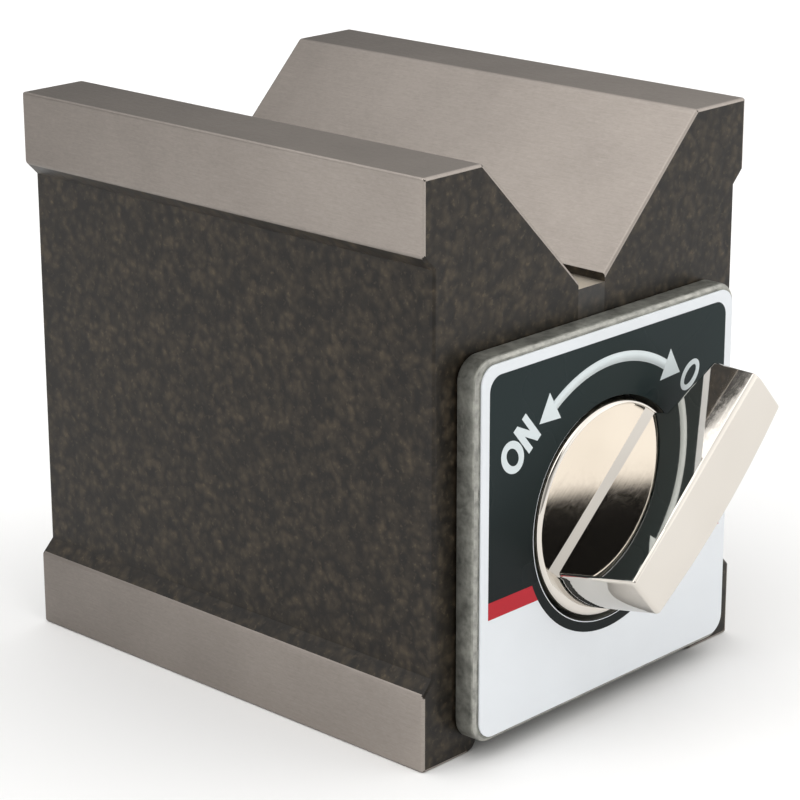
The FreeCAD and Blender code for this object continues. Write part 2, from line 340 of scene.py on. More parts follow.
def flat_shape(name: str, loops: list[Outline], near: float, far: float) -> bpy.types.Object:
    """Builds a thin flat piece from outlines, where an inner outline is a hole.

    Args:
        name: The object's name.
        loops: The outlines, measured from the knob's axis.
        near, far: The depths of its two faces.

    Returns:
        The object as a plain mesh.
    """
    curve = bpy.data.curves.new(name, "CURVE")
    curve.dimensions = "2D"
    curve.fill_mode = "BOTH"
    curve.extrude = abs(far - near) / 2.0
    for loop in loops:
        spline = curve.splines.new("POLY")
        spline.points.add(len(loop) - 1)
        spline.use_cyclic_u = True
        for point, (x, z) in zip(spline.points, loop):
            point.co = (x, z, 0.0, 1.0)
    source = bpy.data.objects.new(name + "_outline", curve)
    bpy.context.scene.collection.objects.link(source)
    graph = bpy.context.evaluated_depsgraph_get()
    mesh = bpy.data.meshes.new_from_object(source.evaluated_get(graph), depsgraph=graph)
    bpy.data.objects.remove(source)
    place = Matrix.Translation((LAYOUT.axis.x, LAYOUT.depth((near + far) / 2.0), LAYOUT.axis.z))
    mesh.transform(place @ Matrix.Rotation(math.radians(90.0), 4, "X"))
    shape = bmesh.new()
    shape.from_mesh(mesh)
    bpy.data.meshes.remove(mesh)
    return from_bmesh(name, shape)


def grown(name: str, tree: bpy.types.NodeTree, sizes: dict[str, float], depth: float) -> bpy.types.Object:
    """Makes a plain mesh from a node tree, and puts it at a depth in front of the knob's axis.

    Args:
        name: The object's name.
        tree: The geometry node tree, whose result faces forwards.
        sizes: The tree's inputs by name.
        depth: Where its origin goes.

    Returns:
        The object.
    """
    made = new_object(name, bpy.data.meshes.new(name))
    modifier = made.modifiers.new(name, "NODES")
    modifier.node_group = tree
    for item in tree.interface.items_tree:
        if item.in_out == "INPUT":
            modifier[item.identifier] = sizes[item.name]
    bake(made)
    made.data.transform(Matrix.Translation((LAYOUT.axis.x, LAYOUT.depth(depth), LAYOUT.axis.z)))
    shape = bmesh.new()
    shape.from_mesh(made.data)
    bmesh.ops.recalc_face_normals(shape, faces=shape.faces[:])
    shape.to_mesh(made.data)
    shape.free()
    return made


# Node building


class Graph:
    """A short way to write a node tree."""

    def __init__(self, tree: bpy.types.NodeTree) -> None:
        """Keeps the tree that the nodes go into."""
        self.tree = tree

    def add(self, kind: str, **settings: object) -> bpy.types.Node:
        """Adds a node.

        Args:
            kind: The node's type name.
            settings: The node's own options.

        Returns:
            The node.
        """
        node = self.tree.nodes.new(kind)
        for name, value in settings.items():
            setattr(node, name, value)
        return node

    def feed(self, socket: bpy.types.NodeSocket, value: Value) -> None:
        """Links a socket to another one, or sets its value."""
        if isinstance(value, bpy.types.NodeSocket):
            self.tree.links.new(value, socket)
        else:
            socket.default_value = value

    def math(self, operation: str, one: Value, two: Value = 0.0, clamp: bool = False) -> bpy.types.NodeSocket:
        """Adds a Math node.

        Args:
            operation: What it works out.
            one, two: Its operands.
            clamp: Whether the result is kept from 0 to 1.

        Returns:
            The result.
        """
        node = self.add("ShaderNodeMath", operation=operation, use_clamp=clamp)
        self.feed(node.inputs[0], one)
        self.feed(node.inputs[1], two)
        return node.outputs[0]

    def spread(self, value: Value, low: float, high: float, start: float = 0.0, end: float = 1.0,
               smooth: bool = False) -> bpy.types.NodeSocket:
        """Maps a range of values to another one.

        Args:
            value: What is mapped.
            low, high: The range it comes from.
            start, end: The range it goes to.
            smooth: Whether the ends are eased.

        Returns:
            The mapped value.
        """
        node = self.add("ShaderNodeMapRange", interpolation_type="SMOOTHSTEP" if smooth else "LINEAR")
        for socket, item in zip(node.inputs, (value, low, high, start, end)):
            self.feed(socket, item)
        return node.outputs[0]

    def mix(self, share: Value, one: Value, two: Value, blend: str = "MIX") -> bpy.types.NodeSocket:
        """Mixes two colours.

        Args:
            share: How much of the second one.
            one, two: The colours.
            blend: How they are mixed.

        Returns:
            The mixed colour.
        """
        node = self.add("ShaderNodeMix", data_type="RGBA", blend_type=blend)
        self.feed(node.inputs["Factor"], share)
        self.feed(node.inputs[6], one)
        self.feed(node.inputs[7], two)
        return node.outputs[2]

    def blend(self, share: Value, one: Value, two: Value) -> bpy.types.NodeSocket:
        """Blends two values."""
        node = self.add("ShaderNodeMix", data_type="FLOAT")
        for index, value in ((0, share), (2, one), (3, two)):
            self.feed(node.inputs[index], value)
        return node.outputs[0]

    def stretch(self, place: Value, scale: tuple[float, float, float],
                shift: tuple[float, float, float] = (0.0, 0.0, 0.0)) -> bpy.types.NodeSocket:
        """Scales and shifts the coordinates that a pattern reads."""
        node = self.add("ShaderNodeMapping")
        self.feed(node.inputs["Vector"], place)
        node.inputs["Location"].default_value = shift
        node.inputs["Scale"].default_value = scale
        return node.outputs[0]

    def noise(self, place: Value, scale: Value, detail: float = 3.0, rough: float = 0.5,
              warp: float = 0.0) -> bpy.types.NodeSocket:
        """Adds a noise pattern.

        Args:
            place: The coordinates.
            scale: Waves in a metre.
            detail, rough: How much fine pattern it has.
            warp: How far it is distorted.

        Returns:
            The pattern, from 0 to 1.
        """
        node = self.add("ShaderNodeTexNoise")
        for name, value in {"Vector": place, "Scale": scale, "Detail": detail, "Roughness": rough,
                            "Distortion": warp}.items():
            self.feed(node.inputs[name], value)
        return node.outputs[0]

    def cells(self, place: Value, scale: Value, feature: str = "F1") -> bpy.types.NodeSocket:
        """Adds a cell pattern and gives the distance in each cell."""
        node = self.add("ShaderNodeTexVoronoi", feature=feature)
        self.feed(node.inputs["Vector"], place)
        self.feed(node.inputs["Scale"], scale)
        return node.outputs["Distance"]

    def bump(self, height: Value, strength: float, distance: float,
             normal: Value | None = None) -> bpy.types.NodeSocket:
        """Turns a height into a normal."""
        node = self.add("ShaderNodeBump")
        node.inputs["Strength"].default_value = strength
        node.inputs["Distance"].default_value = distance
        self.feed(node.inputs["Height"], height)
        if normal is not None:
            self.feed(node.inputs["Normal"], normal)
        return node.outputs[0]

    def place(self) -> bpy.types.NodeSocket:
        """Gives the object's own coordinates."""
        return self.add("ShaderNodeTexCoord").outputs["Object"]

    def split(self, vector: Value) -> bpy.types.NodeOutputs:
        """Gives a vector's X, Y and Z."""
        node = self.add("ShaderNodeSeparateXYZ")
        self.feed(node.inputs[0], vector)
        return node.outputs

    def scaled(self, vector: Value, factor: Value) -> bpy.types.NodeSocket:
        """Multiplies a vector or a colour by a value."""
        node = self.add("ShaderNodeVectorMath", operation="SCALE")
        self.feed(node.inputs[0], vector)
        self.feed(node.inputs["Scale"], factor)
        return node.outputs[0]

    def surface(self, shader: bpy.types.Node, colour: Value, rough: Value, normal: Value) -> None:
        """Feeds the three values that vary over every finish."""
        for name, value in (("Base Color", colour), ("Roughness", rough), ("Normal", normal)):
            self.feed(shader.inputs[name], value)

    def vector(self, x: Value, y: Value, z: Value) -> bpy.types.NodeSocket:
        """Joins three values into a vector."""
        node = self.add("ShaderNodeCombineXYZ")
        for socket, value in zip(node.inputs, (x, y, z)):
            self.feed(socket, value)
        return node.outputs[0]

    def move(self, geometry: Value, shift: Value = (0.0, 0.0, 0.0), turn: Value = (0.0, 0.0, 0.0),
             scale: Value = (1.0, 1.0, 1.0)) -> bpy.types.NodeSocket:
        """Scales, turns and shifts geometry."""
        node = self.add("GeometryNodeTransform")
        for name, value in (("Geometry", geometry), ("Translation", shift), ("Rotation", turn),
                            ("Scale", scale)):
            self.feed(node.inputs[name], value)
        return node.outputs[0]

    def close(self, geometry: bpy.types.NodeSocket, material: bpy.types.Material) -> None:
        """Ends a geometry tree: stands the result up to face forwards, as one mesh of one material."""
        real = self.add("GeometryNodeRealizeInstances")
        self.feed(real.inputs[0], self.move(geometry, turn=(math.radians(90.0), 0.0, 0.0)))
        dressed = self.add("GeometryNodeSetMaterial")
        self.feed(dressed.inputs["Geometry"], real.outputs[0])
        dressed.inputs["Material"].default_value = material
        self.feed(self.add("NodeGroupOutput").inputs[0], dressed.outputs[0])

    def use(self, group: bpy.types.NodeTree, **values: Value) -> bpy.types.Node:
        """Places a shader group.

        Args:
            group: The group.
            values: Its inputs by name, with _ for a space.

        Returns:
            The group's node.
        """
        node = self.add("ShaderNodeGroup", node_tree=group)
        for name, value in values.items():
            self.feed(node.inputs[name.replace("_", " ")], value)
        return node


def geometry_tree(name: str,
                  sizes: tuple[str, ...]) -> tuple[bpy.types.NodeTree, Graph, bpy.types.NodeOutputs]:
    """Starts a geometry node tree.

    Args:
        name: The tree's name.
        sizes: The names of its inputs.

    Returns:
        The tree, its graph and its inputs.
    """
    tree = bpy.data.node_groups.new(name, "GeometryNodeTree")
    tree.interface.new_socket("Geometry", in_out="OUTPUT", socket_type="NodeSocketGeometry")
    for size in sizes:
        tree.interface.new_socket(size, in_out="INPUT", socket_type="NodeSocketFloat")
    g = Graph(tree)
    return tree, g, g.add("NodeGroupInput").outputs


class Effect:
    """A shader group that more than one finish uses."""

    KINDS = {"vector": "NodeSocketVector", "colour": "NodeSocketColor", "value": "NodeSocketFloat"}

    def __init__(self, name: str, inputs: dict[str, str], outputs: dict[str, str]) -> None:
        """Makes the group with its sockets.

        Args:
            name: The group's name.
            inputs, outputs: The kind of each socket by its name.
        """
        self.tree = bpy.data.node_groups.new(name, "ShaderNodeTree")
        for direction, sockets in (("INPUT", inputs), ("OUTPUT", outputs)):
            for label, kind in sockets.items():
                self.tree.interface.new_socket(label, in_out=direction, socket_type=self.KINDS[kind])
        self.graph = Graph(self.tree)
        self.inputs = self.graph.add("NodeGroupInput").outputs
        self.outputs = self.graph.add("NodeGroupOutput").inputs


def hammertone_effect() -> bpy.types.NodeTree:
    """Builds the mottled enamel: soft cells of two colours with a pebbled surface.

    Returns:
        The group, with Place, Base, Fleck and Size in, and Colour, Rough and Height out.
    """
    made = Effect("hammertone", {"Place": "vector", "Base": "colour", "Fleck": "colour", "Size": "value"},
                  {"Colour": "colour", "Rough": "value", "Height": "value"})
    g, given = made.graph, made.inputs
    waves = g.math("DIVIDE", 1.0, given["Size"])
    warped = g.add("ShaderNodeVectorMath", operation="ADD")
    wander = g.add("ShaderNodeTexNoise")
    g.feed(wander.inputs["Vector"], given["Place"])
    g.feed(wander.inputs["Scale"], g.math("MULTIPLY", waves, 0.7))
    g.feed(warped.inputs[0], given["Place"])
    g.feed(warped.inputs[1], g.scaled(wander.outputs["Color"], g.math("MULTIPLY", given["Size"], 1.1)))
    cells = g.cells(warped.outputs[0], waves, "SMOOTH_F1")
    blotch = g.noise(given["Place"], g.math("MULTIPLY", waves, 0.45), 4.0, 0.6)
    grain = g.noise(given["Place"], g.math("MULTIPLY", waves, 1.6), 3.0, 0.6)
    pebble = g.spread(cells, 0.05, 0.75, 1.0, 0.0, smooth=True)
    dots = g.spread(grain, 0.56, 0.74, smooth=True)
    share = g.math("ADD", g.math("MULTIPLY", pebble, g.spread(blotch, 0.35, 0.7, 0.1, 0.75)),
                   g.math("MULTIPLY", dots, 0.45), clamp=True)
    g.feed(made.outputs["Colour"], g.mix(share, given["Base"], given["Fleck"]))
    g.feed(made.outputs["Rough"], g.spread(share, 0.0, 1.0, 0.34, 0.5))
    g.feed(made.outputs["Height"], g.math("ADD", pebble, g.math("MULTIPLY", grain, 0.6)))
    return made.tree


def grinding_effect() -> bpy.types.NodeTree:
    """Builds the marks of a grinding wheel that ran along the block.

    Returns:
        The group, with Place, Base and Contrast in, and Colour, Rough and Height out.
    """
    made = Effect("grinding", {"Place": "vector", "Base": "colour", "Contrast": "value"},
                  {"Colour": "colour", "Rough": "value", "Height": "value"})
    g, given = made.graph, made.inputs
    long_marks = g.noise(g.stretch(given["Place"], (9000.0, 260.0, 9000.0)), 1.0, 4.0, 0.7)
    short_marks = g.noise(g.stretch(given["Place"], (3200.0, 1300.0, 3200.0)), 1.0, 3.0, 0.65, 0.6)
    cloud = g.noise(given["Place"], 90.0, 3.0, 0.55)
    marks = g.math("ADD", g.math("MULTIPLY", long_marks, 0.55), g.math("MULTIPLY", short_marks, 0.45))
    depth = g.math("MULTIPLY", g.math("SUBTRACT", marks, 0.5), given["Contrast"])
    shade = g.math("ADD", g.spread(cloud, 0.3, 0.7, 0.94, 1.05), depth)
    g.feed(made.outputs["Colour"], g.scaled(given["Base"], shade))
    g.feed(made.outputs["Rough"], g.spread(marks, 0.3, 0.7, 0.5, 0.38))
    g.feed(made.outputs["Height"], marks)
    return made.tree


def cast_effect() -> bpy.types.NodeTree:
    """Builds the blotched, slightly pitted skin of a casting.

    Returns:
        The group, with Place, Dark, Light and Size in, and Colour, Rough and Height out.
    """
    made = Effect("cast_skin", {"Place": "vector", "Dark": "colour", "Light": "colour", "Size": "value"},
                  {"Colour": "colour", "Rough": "value", "Height": "value"})
    g, given = made.graph, made.inputs
    waves = g.math("DIVIDE", 1.0, given["Size"])
    cloud = g.noise(given["Place"], waves, 4.0, 0.6)
    fine = g.noise(given["Place"], g.math("MULTIPLY", waves, 5.0), 3.0, 0.6)
    pits = g.spread(g.cells(given["Place"], g.math("MULTIPLY", waves, 2.2)), 0.0, 0.25, 1.0, 0.0, smooth=True)
    share = g.math("ADD", g.spread(cloud, 0.3, 0.7), g.math("MULTIPLY", g.math("SUBTRACT", fine, 0.5), 0.5),
                   clamp=True)
    g.feed(made.outputs["Colour"], g.mix(share, given["Dark"], given["Light"]))
    g.feed(made.outputs["Rough"], g.spread(fine, 0.3, 0.7, 0.42, 0.62))
    g.feed(made.outputs["Height"], g.math("SUBTRACT", g.math("ADD", fine, g.math("MULTIPLY", cloud, 0.6)),
                                          g.math("MULTIPLY", pits, 0.35)))
    return made.tree


EFFECTS = {"hammertone": hammertone_effect(), "grinding": grinding_effect(), "cast": cast_effect()}


@dataclass(frozen=True)
class Finish:
    """A surface finish. Its build method makes the material."""

    name: str

    def start(self, metallic: float = 0.0) -> tuple[bpy.types.Material, Graph, bpy.types.Node]:
        """Makes a material with one main shader.

        Args:
            metallic: The shader's plain value.

        Returns:
            The material, its graph and its shader.
        """
        material = bpy.data.materials.new(self.name)
        material.use_nodes = True
        material.node_tree.nodes.clear()
        graph = Graph(material.node_tree)
        shader = graph.add("ShaderNodeBsdfPrincipled")
        shader.inputs["Metallic"].default_value = metallic
        output = graph.add("ShaderNodeOutputMaterial")
        graph.feed(output.inputs["Surface"], shader.outputs[0])
        return material, graph, shader

    def build(self) -> bpy.types.Material:
        """Makes the material."""
        raise NotImplementedError


@dataclass(frozen=True)
class HammertonePaint(Finish):
    """Dark mottled enamel on the block."""

    base: Colour = (0.006, 0.0042, 0.0026, 1.0)
    fleck: Colour = (0.081, 0.061, 0.038, 1.0)
    size: float = 1.1 * MM

    def build(self) -> bpy.types.Material:
        """Makes the material."""
        material, g, shader = self.start()
        shader.inputs["Specular IOR Level"].default_value = 0.27
        coat = g.use(EFFECTS["hammertone"], Place=g.place(), Base=self.base, Fleck=self.fleck, Size=self.size)
        g.surface(shader, coat.outputs["Colour"], coat.outputs["Rough"],
                  g.bump(coat.outputs["Height"], 0.35, 0.05 * MM))
        return material


@dataclass(frozen=True)
class GroundSteel(Finish):
    """Bare steel with the marks of the grinding wheel, and painted light: brighter at the front end, darker
    towards the back.
    """

    base: Colour = (0.293, 0.262, 0.237, 1.0)
    contrast: float = 0.5
    strength: float = 0.35
    far_place: float = 0.04
    shaded_far_level: float = 0.76
    lit_near_level: float = 1.2

    def build(self) -> bpy.types.Material:
        """Makes the material."""
        material, g, shader = self.start(metallic=1.0)
        place = g.place()
        marks = g.use(EFFECTS["grinding"], Place=place, Base=self.base, Contrast=self.contrast)
        # Painted light and shade: the colour is scaled up near the front end and down towards the back.
        painted_falloff = g.spread(g.split(place)["Y"], self.far_place, LAYOUT.front, self.shaded_far_level, self.lit_near_level)
        g.surface(shader, g.scaled(marks.outputs["Colour"], painted_falloff), marks.outputs["Rough"],
                  g.bump(marks.outputs["Height"], self.strength, 0.01 * MM))
        return material


@dataclass(frozen=True)
class CastMetal(Finish):
    """A casting's skin, dull or plated."""

    dark: Colour = tone(112, 113, 107)
    light: Colour = tone(172, 172, 164)
    size: float = 2.0 * MM
    metallic: float = 0.85
    strength: float = 0.4

    def build(self) -> bpy.types.Material:
        """Makes the material."""
        material, g, shader = self.start(metallic=self.metallic)
        skin = g.use(EFFECTS["cast"], Place=g.place(), Dark=self.dark, Light=self.light, Size=self.size)
        g.surface(shader, skin.outputs["Colour"], skin.outputs["Rough"],
                  g.bump(skin.outputs["Height"], self.strength, 0.05 * MM))
        return material


@dataclass(frozen=True)
class PlatedCasting(Finish):
    """Warm, bright plating over a polished casting."""

    base: Colour = (0.70, 0.66, 0.605, 1.0)
    shade: Colour = (0.672, 0.632, 0.578, 1.0)
    polish_angle: float = 42.0

    def build(self) -> bpy.types.Material:
        """Makes the material."""
        material, g, shader = self.start(metallic=1.0)
        place = g.place()
        wave = g.noise(place, 110.0, 1.0, 0.5)
        fine = g.noise(place, 1500.0, 3.0, 0.6)
        level = g.add("ShaderNodeVectorRotate", rotation_type="Y_AXIS")
        g.feed(level.inputs["Vector"], place)
        level.inputs["Angle"].default_value = math.radians(self.polish_angle)
        lines = g.noise(g.stretch(level.outputs[0], (90.0, 900.0, 2600.0)), 1.0, 3.0, 0.6)
        waved = g.bump(wave, 0.03, 0.1 * MM)
        g.surface(shader, g.mix(g.spread(wave, 0.35, 0.7), self.base, self.shade),
                  g.spread(fine, 0.3, 0.75, 0.02, 0.05), g.bump(lines, 0.1, 0.004 * MM, waved))
        return material


@dataclass(frozen=True)
class PrintedFilm(Finish):
    """Satin film or ink on the label; an ink can carry painted shade that darkens it towards the bottom."""

    base: Colour = tone(226, 230, 234)
    shade: Colour = tone(222, 226, 230)
    rough: float = 0.34
    gloss: float = 0.5
    painted_low_shade: bool = False
    painted_shade_heights: tuple[float, float] = (0.042, 0.02)

    def build(self) -> bpy.types.Material:
        """Makes the material."""
        material, g, shader = self.start()
        shader.inputs["Specular IOR Level"].default_value = self.gloss
        place = g.place()
        cloud = g.noise(place, 70.0, 2.0, 0.5)
        grain = g.noise(place, 2600.0, 2.0, 0.5)
        share = g.spread(cloud, 0.35, 0.65)
        # Painted shade: the ink turns to its darker colour towards the bottom of the label.
        if self.painted_low_shade:
            share = g.spread(g.split(place)["Z"], *self.painted_shade_heights)
        g.surface(shader, g.mix(share, self.base, self.shade),
                  g.spread(cloud, 0.3, 0.7, self.rough - 0.04, self.rough + 0.05),
                  g.bump(grain, 0.12, 0.01 * MM))
        return material


@dataclass(frozen=True)
class MachinedMetal(Finish):
    """Turned or milled metal on the inner pieces."""

    base: Colour = (0.6, 0.45, 0.28, 1.0)
    rough: float = 0.35

    def build(self) -> bpy.types.Material:
        """Makes the material."""
        material, g, shader = self.start(metallic=1.0)
        centred = g.stretch(g.place(), (1.0, 0.0, 1.0), (-LAYOUT.axis.x, 0.0, -LAYOUT.axis.z))
        length = g.add("ShaderNodeVectorMath", operation="LENGTH")
        g.feed(length.inputs[0], centred)
        lines = g.noise(length.outputs["Value"], 9000.0, 2.0, 0.5)
        cloud = g.noise(g.place(), 120.0, 3.0, 0.5)
        dull = tuple(0.8 * part for part in self.base[:3]) + (1.0,)
        g.surface(shader, g.mix(g.spread(cloud, 0.3, 0.7), dull, self.base),
                  g.spread(lines, 0.3, 0.7, self.rough - 0.06, self.rough + 0.1),
                  g.bump(lines, 0.2, 0.01 * MM))
        return material


@dataclass(frozen=True)
class PaintedEnds(Finish):
    """A bare metal strip whose two ends were painted with the block."""

    base: Colour = (0.62, 0.56, 0.47, 1.0)
    paint: HammertonePaint = HammertonePaint("paint")

    def build(self) -> bpy.types.Material:
        """Makes the material."""
        material, g, shader = self.start()
        place = g.place()
        facing = g.split(g.add("ShaderNodeNewGeometry").outputs["Normal"])["Y"]
        painted = g.math("GREATER_THAN", g.math("ABSOLUTE", facing), 0.7)
        coat = g.use(EFFECTS["hammertone"], Place=place, Base=self.paint.base, Fleck=self.paint.fleck,
                     Size=self.paint.size)
        bare = g.use(EFFECTS["grinding"], Place=place, Base=self.base, Contrast=0.5)
        height = g.math("MULTIPLY", coat.outputs["Height"], painted)
        g.surface(shader, g.mix(painted, bare.outputs["Colour"], coat.outputs["Colour"]),
                  g.blend(painted, bare.outputs["Rough"], coat.outputs["Rough"]),
                  g.bump(height, 0.35, 0.05 * MM))
        g.feed(shader.inputs["Metallic"], g.math("SUBTRACT", 1.0, painted))
        return material


class Palette:
    """Every finish of the object, made once."""

    def __init__(self) -> None:
        """Makes the materials."""
        finishes = [
            HammertonePaint("hammertone_paint"),
            GroundSteel("ground_steel"),
            PaintedEnds("painted_brass"),
            CastMetal("cast_plate"),
            # Lighter, smoother metal for the plate's front rounding: wear, and a painted highlight along the
            # edge.
            CastMetal("worn_edge_and_highlight", tone(138, 138, 133), tone(186, 185, 178), 1.2 * MM, 0.9, 0.2),
            PlatedCasting("bright_plating"),
            PrintedFilm("label_film"),
            # The dark ink carries painted shade towards the bottom of the label.
            PrintedFilm("dark_ink", (0.0105, 0.0205, 0.0215, 1.0), (0.002, 0.005, 0.0055, 1.0), 0.28, 0.12,
                        painted_low_shade=True),
            PrintedFilm("red_ink", tone(182, 38, 50), tone(176, 35, 46), 0.28, 0.12),
            PrintedFilm("white_ink", tone(214, 223, 225), tone(209, 218, 220), 0.36),
            MachinedMetal("bearing_bronze"),
            MachinedMetal("machined_brass", (0.72, 0.6, 0.36, 1.0), 0.32),
            MachinedMetal("turned_steel", (0.52, 0.51, 0.5, 1.0), 0.3),
            CastMetal("rotor_iron", (0.10, 0.10, 0.105, 1.0), (0.17, 0.17, 0.175, 1.0), 1.5 * MM, 0.9, 0.2),
            CastMetal("magnet_skin", (0.05, 0.05, 0.055, 1.0), (0.09, 0.09, 0.095, 1.0), 0.8 * MM, 0.6, 0.3),
            CastMetal("seal_rubber", (0.016, 0.016, 0.016, 1.0), (0.03, 0.03, 0.03, 1.0), 0.6 * MM, 0.0, 0.2),
        ]
        self.materials = {finish.name: finish.build() for finish in finishes}

    def dress(self, piece: bpy.types.Object, *names: str) -> None:
        """Gives a piece its finishes, one for each material index."""
        if piece.data.materials:
            piece.data.materials.clear()
        for name in names:
            piece.data.materials.append(self.materials[name])


def finish_piece(piece: bpy.types.Object, body: str, slot: str, *nodes: str) -> None:
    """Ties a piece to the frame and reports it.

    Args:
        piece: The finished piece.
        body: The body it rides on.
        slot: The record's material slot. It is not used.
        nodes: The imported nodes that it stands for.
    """
    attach(piece, body)
    if nodes:
        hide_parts(*nodes)
    log.info("%s rides on %s: %d faces", piece.name, body, len(piece.data.polygons))


class Side(Enum):
    """The two halves of the block."""

    LEFT = -1
    RIGHT = 1


@dataclass
class PoleBar:
    """One half of the block: a painted bar with ground rails, land, V face and sole."""

    side: Side
    vee_half_width: float = 20.0 * MM
    top_rail: float = 9.2 * MM
    bottom_rail: float = 9.9 * MM
    rail_proud: float = 1.8 * MM
    foot_width: float = 9.7 * MM
    foot_radius: float = 1.8 * MM
    channel: float = 3.0 * MM
    bore_radius: float = 17.0 * MM
    edge: float = 0.38 * MM
    edge_steps: int = 3
    least_slope: float = 20.0 * MM ** 2

    def outline(self) -> Outline:
        """Works out the end view from the foot round to the seam.

        Returns:
            The points, across and up.
        """
        s = self.side.value
        outer, top, seam = LAYOUT.half_width, LAYOUT.height, LAYOUT.seam
        waist = outer - self.rail_proud
        root = top - (self.vee_half_width - seam)
        foot = outer - self.foot_width
        points = [
            (foot, 0.0), (outer, 0.0), (outer, self.bottom_rail),
            (waist, self.bottom_rail + self.rail_proud), (waist, top - self.top_rail - self.rail_proud),
            (outer, top - self.top_rail), (outer, top), (self.vee_half_width, top),
            (seam, root), (seam, self.channel), (foot, self.channel),
        ]
        return [(s * x, z) for x, z in points]

    def round_edges(self, shape: bmesh.types.BMesh) -> None:
        """Rounds the foot's inner edge, and breaks every other edge away from the seam."""
        inner = LAYOUT.half_width - self.foot_width
        foot = [e for e in shape.edges if self.is_long(e) and self.at(e, inner, 0.0)]
        bmesh.ops.bevel(shape, geom=foot, offset=self.foot_radius, segments=8, profile=0.5, affect="EDGES")
        corner = math.radians(30.0)
        broken = [e for e in shape.edges if not self.on_seam(e) and e.calc_face_angle(0.0) > corner
                  and (e.is_convex or not self.is_long(e))]
        bmesh.ops.bevel(shape, geom=broken, offset=self.edge, segments=self.edge_steps, profile=0.5,
                        affect="EDGES", clamp_overlap=True)

    def is_long(self, edge: bmesh.types.BMEdge) -> bool:
        """Tells whether an edge runs along the block."""
        return abs(edge.verts[0].co.y - edge.verts[1].co.y) > 0.5 * (LAYOUT.rear - LAYOUT.front)

    def at(self, edge: bmesh.types.BMEdge, x: float, z: float) -> bool:
        """Tells whether a long edge lies at a place in the end view."""
        point = edge.verts[0].co
        return abs(abs(point.x) - x) < TOUCH and abs(point.z - z) < TOUCH

    def on_seam(self, edge: bmesh.types.BMEdge) -> bool:
        """Tells whether both ends of an edge lie on the seam."""
        return all(abs(abs(v.co.x) - LAYOUT.seam) < TOUCH for v in edge.verts)

    def is_ground(self, face: bmesh.types.BMFace) -> bool:
        """Tells whether a flat face was ground: rail side, land, V face or sole."""
        n, c = face.normal, face.calc_center_median()
        on_rail = abs(n.x) > 0.999 and abs(abs(c.x) - LAYOUT.half_width) < TOUCH
        on_land = n.z > 0.999 and abs(c.z - LAYOUT.height) < TOUCH
        on_sole = n.z < -0.999 and abs(c.z) < TOUCH
        on_vee = n.z > 0.6 and abs(n.y) < 1e-3 and n.x * self.side.value < -0.6
        return on_rail or on_land or on_sole or on_vee

    def sort_faces(self, shape: bmesh.types.BMesh) -> None:
        """Marks the ground faces and the bare edges that border them."""
        shape.faces.ensure_lookup_table()
        ground = [f for f in shape.faces if self.is_ground(f)]
        for face in shape.faces:
            face.material_index = 0
        wave = set(ground)
        for _ in range(self.edge_steps):
            wave |= {near for face in wave for edge in face.edges for near in edge.link_faces
                     if near.calc_area() < 4.0 * self.edge * LAYOUT.height and not self.is_main(near)}
        for face in wave:
            face.material_index = 1

    def is_main(self, face: bmesh.types.BMFace) -> bool:
        """Tells whether a face is one of the bar's painted flats and not a broken edge."""
        n = face.normal
        axis_like = max(abs(n.x), abs(n.y), abs(n.z)) > 0.9999
        diagonal = abs(n.y) < 1e-3 and abs(abs(n.x) - abs(n.z)) < 1e-3
        slope = diagonal and face.calc_area() > self.least_slope
        return (axis_like or slope) and not self.is_ground(face)

    def build(self, palette: Palette) -> bpy.types.Object:
        """Builds and dresses the bar.

        Args:
            palette: The finishes.

        Returns:
            The piece.
        """
        node = self.side.name.lower() + "_pole"
        shape = prism(self.outline(), LAYOUT.front, LAYOUT.rear)
        self.round_edges(shape)
        self.sort_faces(shape)
        bar = from_bmesh(node + "_bar", shape)
        palette.dress(bar, "hammertone_paint", "ground_steel")
        combine(bar, [self.bore()], Join.CUT)
        settle(bar)
        finish_piece(bar, "block", "block_paint", node)
        return bar

    def bore(self) -> bpy.types.Object:
        """Builds the tool that cuts the bore and its wider ends."""
        recess = LAYOUT.radius_of("rear_cover") + FIT_GAP
        front_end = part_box("bearing_plate")[1].y - LAYOUT.front
        rear_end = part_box("rear_cover")[0].y - LAYOUT.front
        length = LAYOUT.rear - LAYOUT.front
        past = 1.0 * MM
        profile = [(0.0, -past), (recess, -past), (recess, front_end), (self.bore_radius, front_end),
                   (self.bore_radius, rear_end), (recess, rear_end), (recess, length + past),
                   (0.0, length + past)]
        return from_bmesh("bore", lathe(profile, ROUND_STEPS))


